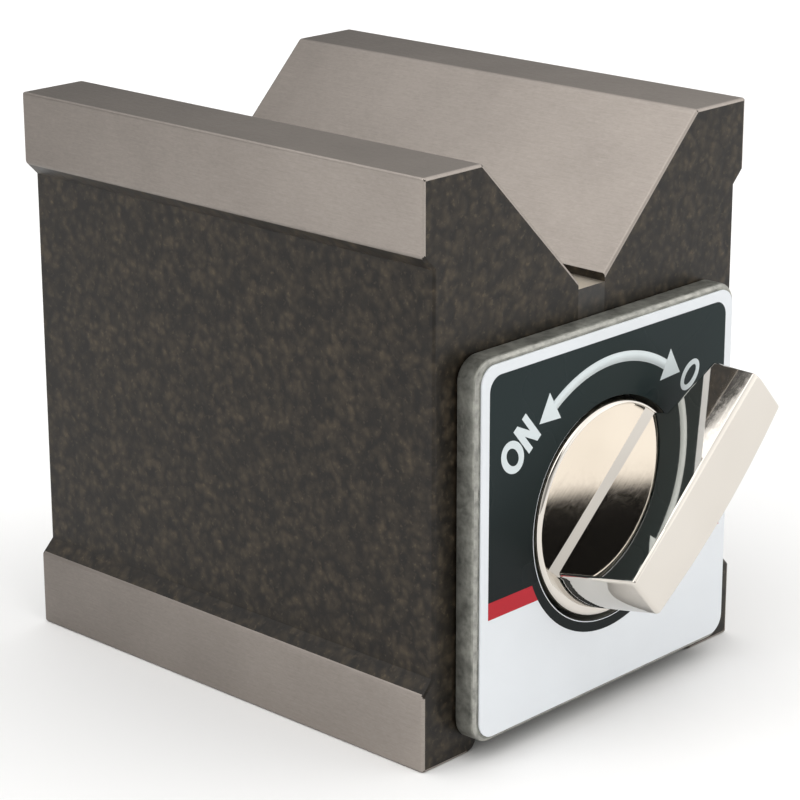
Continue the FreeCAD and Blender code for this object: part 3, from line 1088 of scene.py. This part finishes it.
@dataclass
class CoverPlate:
    """The cast plate on the front, with a rounded edge and the knob's hole."""

    corner: float = 3.0 * MM
    front_round: float = 0.6 * MM
    back_round: float = 0.4 * MM
    hole_edge: float = 0.25 * MM
    seal_lap: float = 3.4 * MM
    hole_gap: float = 0.3 * MM
    worn_highlight_slopes: tuple[float, float] = (0.4, 0.97)
    steps: int = 6

    def hole_radius(self) -> float:
        """Gives the radius of the knob's hole."""
        low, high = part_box("knob_seal")
        return (high.x - low.x) / 2.0 - self.seal_lap + self.hole_gap

    def build(self, palette: Palette) -> bpy.types.Object:
        """Builds and dresses the plate.

        Args:
            palette: The finishes.

        Returns:
            The piece.
        """
        low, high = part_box("cover_plate")
        half_width = (high.x - low.x) / 2.0
        half_height = (high.z - low.z) / 2.0
        back, front = 0.0, low.y - high.y
        outer = []
        for inset, depth in self.edge_profile(back, front):
            outline = rounded_box(-half_width + inset, half_width - inset, -half_height + inset,
                                  half_height - inset, (self.corner - inset,) * 4)
            outer.append(self.place(outline, depth))
        hole = self.hole_radius()
        inner = [self.place(circle(hole + widen, ROUND_STEPS), depth) for widen, depth in
                 ((self.hole_edge, front), (0.0, front + self.hole_edge), (0.0, back))]
        shape = stack(outer)
        wall = stack(inner)
        mesh = bpy.data.meshes.new("wall")
        wall.to_mesh(mesh)
        shape.from_mesh(mesh)
        wall.free()
        bpy.data.meshes.remove(mesh)
        for depth in (front, back):
            y = LAYOUT.depth(depth)
            rim = [e for e in shape.edges if e.is_boundary and all(abs(v.co.y - y) < WELD for v in e.verts)]
            bmesh.ops.triangle_fill(shape, use_beauty=True, edges=rim)
        plate = from_bmesh("cast_cover_plate", shape)
        settle(plate, 50.0)
        # The front rounding gets the lighter edge metal: partly wear, partly a painted highlight.
        edge = LAYOUT.depth(front + self.front_round)
        low_slope, high_slope = self.worn_highlight_slopes
        for face in plate.data.polygons:
            face.material_index = int(face.center.y < edge and low_slope < abs(face.normal.y) < high_slope)
        palette.dress(plate, "cast_plate", "worn_edge_and_highlight")
        finish_piece(plate, "block", "cover_zinc", "cover_plate")
        return plate

    def edge_profile(self, back: float, front: float) -> Outline:
        """Gives the inset and depth of each loop from the back to the front."""
        profile = [(self.back_round, back), (0.0, back - self.back_round)]
        for inset, rise in arc(self.front_round, 180.0, 90.0, self.steps, (self.front_round, 0.0)):
            profile.append((inset, front + self.front_round - rise))
        return profile

    def place(self, outline: Outline, depth: float) -> list[Vector]:
        """Puts an outline in front of the block at a depth."""
        return [Vector((LAYOUT.axis.x + x, LAYOUT.depth(depth), LAYOUT.axis.z + z)) for x, z in outline]


@dataclass
class Label:
    """The printed label: a white film with a dark field, two stripes and the knob's marks."""

    ink: float = 0.02 * MM
    corner: float = 2.3 * MM
    border: float = 1.35 * MM
    field_corner: float = 2.0 * MM
    field_bottom: float = -6.0 * MM
    stripe_bottom: float = -8.2 * MM
    ring_radius: float = 15.75 * MM
    hole_border: float = 0.05 * MM
    print_shift: tuple[float, float] = (-0.06 * MM, -0.05 * MM)
    letter_height: float = 4.4 * MM
    on_angle: float = 40.5
    zero_angle: float = -45.0

    def build(self, palette: Palette) -> list[bpy.types.Object]:
        """Builds and dresses the film and its inks.

        Args:
            palette: The finishes.

        Returns:
            The pieces, the film first.
        """
        low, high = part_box("cover_label")
        self.front = low.y - LAYOUT.front
        self.left, self.right = low.x - LAYOUT.axis.x, high.x - LAYOUT.axis.x
        self.bottom, self.top = low.z - LAYOUT.axis.z, high.z - LAYOUT.axis.z
        self.hole = CoverPlate().hole_radius()
        base = self.front + 2.0 * self.ink
        back = high.y - LAYOUT.front
        sheet = rounded_box(self.left, self.right, self.bottom, self.top, (self.corner,) * 4)
        film = flat_shape("label_film", [sheet, circle(self.hole, ROUND_STEPS)], base, back)
        # The hole's cut wall gets the dark ink: painted shade in the gap round the knob.
        for face in film.data.polygons:
            reach = math.hypot(face.center.x - LAYOUT.axis.x, face.center.z - LAYOUT.axis.z)
            face.material_index = int(reach < self.hole + self.ink and abs(face.normal.y) < 0.5)
        palette.dress(film, "label_film", "dark_ink")
        finish_piece(film, "block", "label_print", "cover_label")
        inner = circle(self.hole + self.hole_border, ROUND_STEPS, self.print_shift)
        field = flat_shape("label_field", [self.field(), inner], base - self.ink, base)
        palette.dress(field, "dark_ink")
        finish_piece(field, "block", "label_print")
        stripes = flat_shape("label_stripes", [self.stripe(-1), self.stripe(1)], base - self.ink, base)
        palette.dress(stripes, "red_ink")
        finish_piece(stripes, "block", "label_print")
        letters = flat_shape("label_letters", self.letters(), self.front, base - self.ink)
        palette.dress(letters, "white_ink")
        finish_piece(letters, "block", "label_print")
        return [film, field, stripes, letters]

    def ring_angle(self, height: float) -> float:
        """Gives the angle at which the ring round the knob crosses a height."""
        return math.degrees(math.asin(height / self.ring_radius))

    def field(self) -> Outline:
        """Gives the dark field: its upper part, and the ring that goes on below the stripes."""
        left, right = self.left + self.border, self.right - self.border
        top = self.top - self.border
        angle = self.ring_angle(self.field_bottom)
        ring = arc(self.ring_radius, -180.0 - angle, angle, 72)
        r = self.field_corner
        return (ring + [(right, self.field_bottom)] + arc(r, 0.0, 90.0, 10, (right - r, top - r))
                + arc(r, 90.0, 180.0, 10, (left + r, top - r)) + [(left, self.field_bottom)])

    def stripe(self, side: int) -> Outline:
        """Gives one stripe, from the field's border to the ring."""
        upper, lower = self.ring_angle(self.field_bottom), self.ring_angle(self.stripe_bottom)
        outer = self.right - self.border
        curve = arc(self.ring_radius, upper, lower, 6)
        points = curve + [(outer, self.stripe_bottom), (outer, self.field_bottom)]
        return [(side * x, z) for x, z in points]

    def letters(self) -> list[Outline]:
        """Gives the outlines of ON and 0."""
        h = self.letter_height
        round_o = self.oval(3.75 * MM, h + 0.1 * MM, 0.95 * MM, self.on_angle, (-18.41 * MM, 11.32 * MM))
        letter_n = turned(self.letter_n(2.85 * MM, h, 0.9 * MM, 2.1 * MM), self.on_angle,
                          (-15.8 * MM, 13.62 * MM))
        zero = self.oval(2.95 * MM, 4.45 * MM, 0.72 * MM, self.zero_angle, (15.41 * MM, 13.74 * MM))
        return round_o + [letter_n] + zero

    def oval(self, width: float, height: float, stroke: float, angle: float,
             centre: tuple[float, float]) -> list[Outline]:
        """Gives the outer and inner outline of an O."""
        loops = []
        for inset in (0.0, stroke):
            points = circle(1.0, 48)
            scaled = [(x * (width / 2.0 - inset), z * (height / 2.0 - inset)) for x, z in points]
            loops.append(turned(scaled, angle, centre))
        return loops

    def letter_n(self, width: float, height: float, stroke: float, slant: float) -> Outline:
        """Gives the outline of an N about its middle."""
        w, h, s, d = width, height, stroke, slant
        points = [(0, 0), (s, 0), (s, h - d), (w - s, 0), (w, 0),
                  (w, h), (w - s, h), (w - s, d), (s, h), (0, h)]
        return [(x - w / 2.0, z - h / 2.0) for x, z in points]


@dataclass
class TurnArrow:
    """The double arrow round the knob, which follows an arc."""

    radius: float = 19.2 * MM
    width: float = 1.3 * MM
    start: float = 57.4
    end: float = 124.0
    head_length: float = 3.35 * MM
    head_width: float = 4.2 * MM
    head_turn: float = -4.0
    thickness: float = 0.02 * MM

    def tree(self, material: bpy.types.Material) -> bpy.types.NodeTree:
        """Builds the node tree: an arc with a flat section and a head at each end.

        Args:
            material: The ink.

        Returns:
            The tree.
        """
        names = ("Radius", "Width", "Start", "Sweep", "Head Length", "Head Width", "Thickness")
        tree, g, given = geometry_tree("double_arrow", names)
        line = g.add("GeometryNodeCurveArc", mode="RADIUS")
        g.feed(line.inputs["Resolution"], 49)
        g.feed(line.inputs["Radius"], given["Radius"])
        g.feed(line.inputs["Start Angle"], given["Start"])
        g.feed(line.inputs["Sweep Angle"], given["Sweep"])
        section = g.add("GeometryNodeCurvePrimitiveQuadrilateral", mode="RECTANGLE")
        g.feed(section.inputs["Width"], given["Width"])
        g.feed(section.inputs["Height"], given["Thickness"])
        band = g.add("GeometryNodeCurveToMesh")
        g.feed(band.inputs["Curve"], line.outputs["Curve"])
        g.feed(band.inputs["Profile Curve"], section.outputs["Curve"])
        band.inputs["Fill Caps"].default_value = True
        heads = [self.head(g, given, share) for share in (0.0, 1.0)]
        joined = g.add("GeometryNodeJoinGeometry")
        for part in [band.outputs[0]] + heads:
            tree.links.new(part, joined.inputs[0])
        g.close(joined.outputs[0], material)
        return tree

    def head(self, g: Graph, given: bpy.types.NodeOutputs, share: float) -> bpy.types.NodeSocket:
        """Adds one arrow head, a three-sided prism that points along the arc.

        Args:
            g: The tree's graph.
            given: The tree's inputs.
            share: Where along the arc it sits, at 0 or 1.

        Returns:
            The head's geometry.
        """
        wedge = g.add("GeometryNodeMeshCylinder", fill_type="NGON")
        wedge.inputs["Vertices"].default_value = 3
        wedge.inputs["Radius"].default_value = 1.0
        g.feed(wedge.inputs["Depth"], given["Thickness"])
        size = g.vector(g.math("DIVIDE", given["Head Length"], 1.5),
                        g.math("DIVIDE", given["Head Width"], math.sqrt(3.0)), 1.0)
        middle = g.vector(g.math("DIVIDE", given["Head Length"], 3.0), 0.0, 0.0)
        base = g.move(wedge.outputs[0], middle, scale=size)
        facing = 90.0 + self.head_turn if share == 1.0 else -90.0 - self.head_turn
        angle = g.math("ADD", given["Start"], g.math("MULTIPLY", given["Sweep"], share))
        turn = g.vector(0.0, 0.0, g.math("ADD", angle, math.radians(facing)))
        spot = g.vector(g.math("MULTIPLY", given["Radius"], g.math("COSINE", angle)),
                        g.math("MULTIPLY", given["Radius"], g.math("SINE", angle)), 0.0)
        return g.move(base, spot, turn)

    def build(self, palette: Palette, front: float) -> bpy.types.Object:
        """Builds the arrow on the label's field.

        Args:
            palette: The finishes.
            front: The depth of the inks' front.

        Returns:
            The piece.
        """
        sizes = {"Radius": self.radius, "Width": self.width, "Start": math.radians(self.start),
                 "Sweep": math.radians(self.end - self.start), "Head Length": self.head_length,
                 "Head Width": self.head_width, "Thickness": self.thickness}
        tree = self.tree(palette.materials["white_ink"])
        arrow = grown("label_arrow", tree, sizes, front + self.thickness / 2.0)
        finish_piece(arrow, "block", "label_print")
        return arrow


@dataclass
class Knob:
    """The plated casting: a round disc with a lever across it and a captive flange behind."""

    disc_radius: float = 13.75 * MM
    rim_round: float = 0.65 * MM
    crown: float = 0.08 * MM
    face: float = -3.9 * MM
    flange_front: float = 1.0 * MM
    flange_thickness: float = 3.0 * MM
    upper_side: float = 3.5 * MM
    lower_side: float = 5.6 * MM
    taper: float = 1.4 * MM
    lever_face: float = -15.3 * MM
    heel_foot: float = 12.6 * MM
    heel_corner: float = 1.2 * MM
    heel_end: float = 9.9 * MM
    end_corner: float = 0.8 * MM
    widest: float = 6.0 * MM
    belly: float = 108.0 * MM
    belly_side: float = 5.2 * MM
    reach: float = 21.5 * MM
    neck: float = 13.1 * MM
    tip_depth: float = 6.8 * MM
    undercut: float = 2.4 * MM
    edge: float = 0.45 * MM
    tip_edge: float = 2.3 * MM
    tip_edge_depth: float = 0.6 * MM
    swelling: tuple[float, float] = (-6.0 * MM, 8.0 * MM)
    root_width: float = 1.0 * MM
    root_rise: float = 0.84 * MM
    root_sunk: float = 0.25 * MM
    root_starts: tuple[float, float] = (0.6 * MM, 3.2 * MM)
    tip_rib: float = 17.0 * MM
    inner_ribs: tuple[float, ...] = (8.0 * MM, 3.0 * MM, -2.0 * MM)
    angle: float = 42.0

    def disc(self) -> bpy.types.Object:
        """Turns the disc, with its crowned face and round rim, and the flange behind it."""
        flat = self.disc_radius - self.rim_round
        face = [(flat * step / 8.0, self.face - self.crown * (1.0 - (step / 8.0) ** 2)) for step in range(9)]
        rim = [(flat + x, self.face + self.rim_round - y) for x, y in arc(self.rim_round, 90.0, 0.0, 10)]
        flange = LAYOUT.radius_of("knob_seal") - 1.0 * MM
        back = self.flange_front + self.flange_thickness
        rest = [(self.disc_radius, self.flange_front), (flange, self.flange_front),
                (flange, back), (0.0, back)]
        return from_bmesh("disc", lathe(face + rim[1:] + rest, 160))

    @property
    def lean(self) -> float:
        """The angle between the lever's lower side and its length."""
        return math.atan(self.taper / self.reach)

    def stations(self) -> list[float]:
        """Gives the places along the lever, from the tip back, where its sides get a rib."""
        return [self.reach, self.tip_rib, self.neck, self.neck - self.rim_round, *self.inner_ribs]

    def foot_plan(self) -> Outline:
        """Works out the lever's outline on the disc: two straight sides, and a heel concentric with the disc.

        Returns:
            The points along and up, from the upper side's tip round the heel to the lower side's tip.
        """
        radius, corner = self.heel_foot, self.heel_corner
        slope, shift = math.tan(self.lean), corner / math.cos(self.lean) - self.lower_side
        square = 1.0 + slope ** 2
        root = math.sqrt((shift * slope) ** 2 - square * (shift ** 2 - (radius - corner) ** 2))
        painted_falloff = -(shift * slope + root) / square
        centre = (painted_falloff, shift + slope * painted_falloff)
        first = 180.0 - math.degrees(math.asin(self.upper_side / radius))
        meet = math.degrees(math.atan2(centre[1], centre[0])) % 360.0
        upper = [(at, self.upper_side) for at in self.stations()]
        lower = [(at, at * slope - self.lower_side) for at in reversed(self.stations())]
        bend = arc(corner, meet, 270.0 + math.degrees(self.lean), 8, centre)
        return upper + arc(radius, first, meet, 12) + bend[1:] + lower

    def face_plan(self) -> Outline:
        """Works out the lever's outline at its outer face: a bowed lower side and a straight heel.

        Returns:
            As many points as the outline on the disc has, in the same order.
        """
        top, corner = self.upper_side, self.end_corner
        side = {at: self.belly_at(at) for at in self.stations()}
        low = self.belly_at(corner - self.heel_end) + corner
        upper = [(at, top) for at in self.stations()]
        end = [(-self.heel_end, top + (low - top) * step / 12.0) for step in range(13)]
        bend = arc(corner, 180.0, 266.0, 8, (corner - self.heel_end, low))
        return upper + end + bend[1:] + [(at, side[at]) for at in reversed(self.stations())]

    def belly_at(self, at: float) -> float:
        """Gives the height of the outer face's bowed lower side at a place along the lever."""
        return (at - self.widest) ** 2 / (2.0 * self.belly) - self.belly_side

    def underside(self, at: float) -> float:
        """Gives the depth of the lever's inner side at a place along it."""
        bed, under = self.face + self.rim_round, self.face - self.undercut
        if at < self.neck + 1e-9:
            return bed + (under - bed) * max((at - self.neck) / self.rim_round + 1.0, 0.0)
        share = (at - self.neck) / (self.reach - self.neck)
        return under + (self.lever_face + self.tip_depth - under) * share

    def lever(self) -> bpy.types.Object:
        """Builds the lever along the disc, with its edges rounded."""
        foot = [Vector((at, LAYOUT.depth(self.underside(at)), up)) for at, up in self.foot_plan()]
        end = [Vector((at, LAYOUT.depth(self.lever_face), up)) for at, up in self.face_plan()]
        shape = stack([foot, end])
        shape.verts.ensure_lookup_table()
        inner, outer = shape.verts[:len(foot)], shape.verts[len(foot):]
        for rib in range(3):
            shape.faces.new((inner[rib], inner[rib + 1], inner[-2 - rib], inner[-1 - rib]))
        shape.faces.new(outer)
        shape.faces.new(inner[3:-3])
        bmesh.ops.recalc_face_normals(shape, faces=shape.faces[:])
        corners = [e for e in shape.edges if self.is_corner(e)]
        bmesh.ops.bevel(shape, geom=corners, offset=self.edge, segments=8, profile=0.5, affect="EDGES",
                        clamp_overlap=False)
        self.swell(shape)
        return from_bmesh("lever", shape)

    def is_corner(self, edge: bmesh.types.BMEdge) -> bool:
        """Tells whether one of the lever's edges stands free and gets rounded."""
        deepest = LAYOUT.depth(self.face + self.rim_round) - TOUCH
        free = not all(v.co.y > deepest for v in edge.verts)
        return free and edge.is_convex and edge.calc_face_angle(0.0) > math.radians(25.0)

    def swell(self, shape: bmesh.types.BMesh) -> None:
        """Widens the rounding between the upper side and the outer face towards the tip."""
        face, top = LAYOUT.depth(self.lever_face), self.upper_side
        first, last = self.swelling
        for vert in shape.verts:
            across = (vert.co.z - (top - self.edge)) / self.edge
            out = ((face + self.edge) - vert.co.y) / self.edge
            if across < -1e-4 or out < -1e-4:
                continue
            share = min(max((vert.co.x - first) / (last - first), 0.0), 1.0)
            share *= share * (3.0 - 2.0 * share)
            width = self.edge + (self.tip_edge - self.edge) * share
            depth = self.edge + (self.tip_edge_depth - self.edge) * share
            vert.co.z = top - width + across * width
            vert.co.y = face + depth - out * depth

    def root_strip(self, start: Vector, end: Vector, outward: Vector) -> bpy.types.Object:
        """Builds the slope between one side of the lever and the disc.

        Args:
            start, end: The ends of the lever's foot, along and up.
            outward: The direction away from the lever.

        Returns:
            The strip.
        """
        wide, rise, sunk = self.root_width, self.root_rise, self.root_sunk
        section = [(-sunk, self.face - rise * (1.0 + sunk / wide)),
                   (wide * (1.0 + sunk / rise), self.face + sunk), (-sunk, self.face + sunk)]
        loops = []
        for point in (start, end):
            places = [(point + outward * across, depth) for across, depth in section]
            loops.append([Vector((place.x, LAYOUT.depth(depth), place.y)) for place, depth in places])
        shape = stack(loops)
        bmesh.ops.holes_fill(shape, edges=[e for e in shape.edges if e.is_boundary])
        return from_bmesh("root", shape)

    def roots(self) -> list[bpy.types.Object]:
        """Builds the slopes along both sides of the lever."""
        stop, slope = self.neck - self.rim_round, math.tan(self.lean)
        upper_start, lower_start = (-self.heel_foot + start for start in self.root_starts)
        upper = (Vector((upper_start, self.upper_side)), Vector((stop, self.upper_side)))
        lower = [Vector((at, at * slope - self.lower_side)) for at in (lower_start, stop)]
        down = Vector((math.sin(self.lean), -math.cos(self.lean)))
        return [self.root_strip(*upper, Vector((0.0, 1.0))), self.root_strip(*lower, down)]

    def build(self, palette: Palette) -> bpy.types.Object:
        """Builds and dresses the knob.

        Args:
            palette: The finishes.

        Returns:
            The piece.
        """
        parts = [self.lever()] + self.roots()
        turn = (Matrix.Translation((LAYOUT.axis.x, 0.0, LAYOUT.axis.z))
                @ Matrix.Rotation(math.radians(-self.angle), 4, "Y"))
        for part in parts:
            part.data.transform(turn)
        knob = self.disc()
        combine(knob, parts, Join.UNITE)
        knob.name = knob.data.name = "plated_knob"
        settle(knob, 13.0)
        palette.dress(knob, "bright_plating")
        finish_piece(knob, "rotor", "knob_chrome", "knob")
        return knob


@dataclass
class CoverScrews:
    """Four countersunk screws with a hexagon socket, under the label."""

    inset: float = 4.0 * MM
    head_radius: float = 2.9 * MM
    head_height: float = 1.5 * MM
    shank_radius: float = 1.5 * MM
    socket_radius: float = 1.15 * MM
    socket_depth: float = 1.1 * MM

    def tree(self, material: bpy.types.Material) -> bpy.types.NodeTree:
        """Builds the node tree: one screw, and its copies at the corners of a rectangle.

        Args:
            material: The screws' finish.

        Returns:
            The tree.
        """
        names = ("Width", "Height", "Length", "Head Radius", "Head Height", "Shank Radius", "Socket Radius",
                 "Socket Depth")
        tree, g, given = geometry_tree("corner_screws", names)
        head = g.add("GeometryNodeMeshCone", fill_type="NGON")
        head.inputs["Vertices"].default_value = 48
        g.feed(head.inputs["Radius Bottom"], given["Shank Radius"])
        g.feed(head.inputs["Radius Top"], given["Head Radius"])
        g.feed(head.inputs["Depth"], given["Head Height"])
        flush = g.move(head.outputs[0], g.vector(0.0, 0.0, g.math("MULTIPLY", given["Head Height"], -1.0)))
        shank = self.bar(g, 48, given["Shank Radius"], given["Length"], given["Length"])
        socket = self.bar(g, 6, given["Socket Radius"], g.math("MULTIPLY", given["Socket Depth"], 2.0),
                          given["Socket Depth"])
        solid = g.add("GeometryNodeMeshBoolean", operation="UNION", solver="EXACT")
        for part in (flush, shank):
            tree.links.new(part, solid.inputs["Mesh 2"])
        cut = g.add("GeometryNodeMeshBoolean", operation="DIFFERENCE", solver="EXACT")
        g.feed(cut.inputs["Mesh 1"], solid.outputs[0])
        g.feed(cut.inputs["Mesh 2"], socket)
        corners = g.add("GeometryNodeMeshGrid")
        for name, value in {"Size X": given["Width"], "Size Y": given["Height"], "Vertices X": 2,
                            "Vertices Y": 2}.items():
            g.feed(corners.inputs[name], value)
        copies = g.add("GeometryNodeInstanceOnPoints")
        g.feed(copies.inputs["Points"], corners.outputs[0])
        g.feed(copies.inputs["Instance"], cut.outputs[0])
        g.close(copies.outputs[0], material)
        return tree

    def bar(self, g: Graph, sides: int, radius: Value, length: Value, drop: Value) -> bpy.types.NodeSocket:
        """Adds a round or many-sided bar.

        Args:
            g: The tree's graph.
            sides: The number of its sides.
            radius, length: Its sizes.
            drop: How far its lower end lies under the head's flat face.

        Returns:
            The bar's geometry.
        """
        bar = g.add("GeometryNodeMeshCylinder", fill_type="NGON")
        bar.inputs["Vertices"].default_value = sides
        g.feed(bar.inputs["Radius"], radius)
        g.feed(bar.inputs["Depth"], length)
        middle = g.math("SUBTRACT", g.math("DIVIDE", length, 2.0), drop)
        return g.move(bar.outputs[0], g.vector(0.0, 0.0, middle))

    def build(self, palette: Palette) -> bpy.types.Object:
        """Builds the screws.

        Args:
            palette: The finishes.

        Returns:
            The piece.
        """
        low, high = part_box("cover_screws")
        wide = 2.0 * self.head_radius
        sizes = {"Width": high.x - low.x - wide, "Height": high.z - low.z - wide, "Length": high.y - low.y,
                 "Head Radius": self.head_radius, "Head Height": self.head_height,
                 "Shank Radius": self.shank_radius, "Socket Radius": self.socket_radius,
                 "Socket Depth": self.socket_depth}
        tree = self.tree(palette.materials["turned_steel"])
        screws = grown("corner_screws", tree, sizes, low.y - LAYOUT.front)
        finish_piece(screws, "block", "ground_steel", "cover_screws")
        return screws


@dataclass
class RearPlug:
    """The round plug in the rear recess, with a turned groove and a centre mark."""

    edge: float = 0.4 * MM
    groove: tuple[float, float] = (15.2 * MM, 16.2 * MM)
    groove_depth: float = 0.35 * MM
    mark: float = 1.6 * MM

    def build(self, palette: Palette) -> bpy.types.Object:
        """Builds the plug.

        Args:
            palette: The finishes.

        Returns:
            The piece.
        """
        low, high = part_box("rear_cover")
        near, far = low.y - LAYOUT.front, high.y - LAYOUT.front
        radius, pocket = LAYOUT.radius_of("rear_cover"), LAYOUT.radius_of("rear_bush") + FIT_GAP
        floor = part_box("rear_bush")[1].y - LAYOUT.front
        inner, outer = self.groove
        sunk, slope = far - self.groove_depth, self.groove_depth
        profile = [(0.0, floor), (pocket, floor), (pocket, near), (radius, near)]
        profile += [(radius - self.edge + x, far - self.edge + y) for x, y in arc(self.edge, 0.0, 90.0, 6)]
        profile += [(outer, far), (outer - slope, sunk), (inner + slope, sunk), (inner, far)]
        profile += [(self.mark, far), (0.0, far - self.mark)]
        plug = settle(from_bmesh("rear_plug", lathe(profile, 120)), 30.0)
        palette.dress(plug, "hammertone_paint")
        finish_piece(plug, "block", "block_paint", "rear_cover")
        return plug


class InnerWorks:
    """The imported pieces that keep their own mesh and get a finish."""

    FINISHES = {
        "top_spacer": ("painted_brass", "spacer_brass"),
        "bottom_spacer": ("painted_brass", "spacer_brass"),
        "top_dowels": ("turned_steel", "ground_steel"),
        "bottom_dowels": ("turned_steel", "ground_steel"),
        "knob_seal": ("seal_rubber", "seal_rubber"),
        "bearing_plate": ("turned_steel", "ground_steel"),
        "front_bush": ("bearing_bronze", "bearing_bronze"),
        "stop_pin": ("turned_steel", "ground_steel"),
        "thrust_washer": ("bearing_bronze", "bearing_bronze"),
        "rear_bush": ("bearing_bronze", "bearing_bronze"),
        "disc_spring": ("turned_steel", "ground_steel"),
        "front_end_cap": ("machined_brass", "spacer_brass"),
        "rear_end_cap": ("machined_brass", "spacer_brass"),
        "upper_rotor_pole": ("rotor_iron", "rotor_iron"),
        "lower_rotor_pole": ("rotor_iron", "rotor_iron"),
        "rotor_magnets": ("magnet_skin", "magnet_block"),
        "rotor_keepers": ("machined_brass", "spacer_brass"),
        "rotor_tie_rods": ("turned_steel", "ground_steel"),
    }

    def dress(self, palette: Palette) -> None:
        """Dresses every kept node.

        Args:
            palette: The finishes.
        """
        for node, (finish, slot) in self.FINISHES.items():
            piece = frame["nodes"][node]
            palette.dress(piece, finish)
            log.info("%s keeps its mesh", node)


@dataclass(frozen=True)
class Studio:
    """A pale floor, soft light and the camera of the picture."""

    camera_place: tuple[float, float, float] = (-0.25237, -0.23304, 0.14567)
    yaw: float = 46.73
    pitch: float = -18.03
    roll: float = -0.095
    lens: float = 125.39
    sensor: float = 36.0
    floor_radius: float = 4.0
    dim: float = 0.18
    window: tuple[float, float] = (-42.0, 1.5)
    side_wall: tuple[float, float] = (165.0, 0.85)
    ceiling_left: float = 1.95
    ceiling_right: float = 1.42
    patch_level: float = 0.015
    gap_level: float = 0.09
    gap_side: tuple[float, float, float] = (0.613, 0.7176, -0.3305)
    gap_middle: tuple[float, float, float] = (-0.222, 0.563, 0.796)

    def camera(self) -> None:
        """Places the camera."""
        yaw, pitch, roll = (math.radians(a) for a in (self.yaw, self.pitch, self.roll))
        ahead = Vector((math.cos(pitch) * math.sin(yaw), math.cos(pitch) * math.cos(yaw), math.sin(pitch)))
        right = Vector((math.cos(yaw), -math.sin(yaw), 0.0))
        up = right.cross(ahead)
        across = right * math.cos(roll) + up * math.sin(roll)
        upward = up * math.cos(roll) - right * math.sin(roll)
        data = bpy.data.cameras.new("view")
        data.lens, data.sensor_width = self.lens, self.sensor
        data.clip_start, data.clip_end = 0.01, 20.0
        made = bpy.data.objects.new("view", data)
        bpy.context.scene.collection.objects.link(made)
        turn = Matrix((across, upward, -ahead)).transposed().to_4x4()
        made.matrix_world = Matrix.Translation(self.camera_place) @ turn
        bpy.context.scene.camera = made

    def floor(self) -> None:
        """Lays the floor."""
        shape = bmesh.new()
        bmesh.ops.create_circle(shape, cap_ends=True, segments=64, radius=self.floor_radius)
        ground = from_bmesh("floor", shape)
        material = bpy.data.materials.new("pale_floor")
        material.use_nodes = True
        shader = material.node_tree.nodes["Principled BSDF"]
        shader.inputs["Base Color"].default_value = (0.9, 0.9, 0.9, 1.0)
        shader.inputs["Roughness"].default_value = 0.9
        ground.data.materials.append(material)

    def sky(self) -> None:
        """Makes the room's light: a ceiling bright on the left, two soft walls and two dark places."""
        world = bpy.data.worlds.new("room")
        world.use_nodes = True
        world.node_tree.nodes.clear()
        g = Graph(world.node_tree)
        way = g.add("ShaderNodeTexCoord").outputs["Generated"]
        parts = g.split(way)
        across, height = parts["X"], parts["Z"]
        overhead = g.spread(height, 0.5, 0.7, smooth=True)
        ceiling = g.spread(across, 0.25, -0.15, self.ceiling_right, self.ceiling_left, smooth=True)
        lobes = [self.lobe(g, way, source) for source in (self.window, self.side_wall)]
        wall = g.math("ADD", self.dim, g.math("ADD", *lobes))
        patch = g.math("MULTIPLY", g.spread(across, -0.254, -0.264, smooth=True),
                       g.math("MULTIPLY", g.spread(parts["Y"], -0.44, -0.5, smooth=True),
                              g.spread(height, 0.4, 0.5, smooth=True)))
        gap = g.math("MULTIPLY", g.spread(self.toward(g, way, self.gap_side), -0.001, 0.001, smooth=True),
                     g.spread(self.toward(g, way, self.gap_middle), 0.990, 0.995, smooth=True))
        level = g.blend(patch, g.blend(overhead, wall, ceiling), self.patch_level)
        level = g.blend(gap, level, self.gap_level)
        background = g.add("ShaderNodeBackground")
        background.inputs["Color"].default_value = (1.0, 0.995, 0.985, 1.0)
        g.feed(background.inputs["Strength"], level)
        g.feed(g.add("ShaderNodeOutputWorld").inputs["Surface"], background.outputs[0])
        bpy.context.scene.world = world

    def lobe(self, g: Graph, way: Value, source: tuple[float, float]) -> bpy.types.NodeSocket:
        """Adds a soft light on the wall.

        Args:
            g: The world's graph.
            way: The direction that is looked in.
            source: The light's bearing in degrees and its level.

        Returns:
            The light's level in that direction.
        """
        bearing, level = source
        flat = g.add("ShaderNodeVectorMath", operation="NORMALIZE")
        g.feed(flat.inputs[0], g.stretch(way, (1.0, 1.0, 0.0)))
        angle = math.radians(bearing)
        aim = (math.cos(angle), math.sin(angle), 0.0)
        near = g.math("MAXIMUM", self.toward(g, flat.outputs[0], aim), 0.0)
        return g.math("MULTIPLY", g.math("MULTIPLY", near, near), level)

    def toward(self, g: Graph, way: Value, aim: tuple[float, float, float]) -> bpy.types.NodeSocket:
        """Gives the cosine between a direction and the one that a zone of the room has."""
        node = g.add("ShaderNodeVectorMath", operation="DOT_PRODUCT")
        g.feed(node.inputs[0], way)
        node.inputs[1].default_value = Vector(aim).normalized()
        return node.outputs["Value"]

    def build(self) -> None:
        """Sets up the whole studio."""
        self.camera()
        self.floor()
        self.sky()
        bpy.context.scene.view_settings.view_transform = "Standard"


def main() -> None:
    """Builds the studio and every piece."""
    logging.basicConfig(level=logging.INFO, format="%(name)s: %(message)s")
    Studio().build()
    palette = Palette()
    for side in Side:
        PoleBar(side).build(palette)
    CoverPlate().build(palette)
    label = Label()
    label.build(palette)
    TurnArrow().build(palette, label.front)
    Knob().build(palette)
    CoverScrews().build(palette)
    RearPlug().build(palette)
    InnerWorks().dress(palette)


if __name__ == "__main__":
    main()
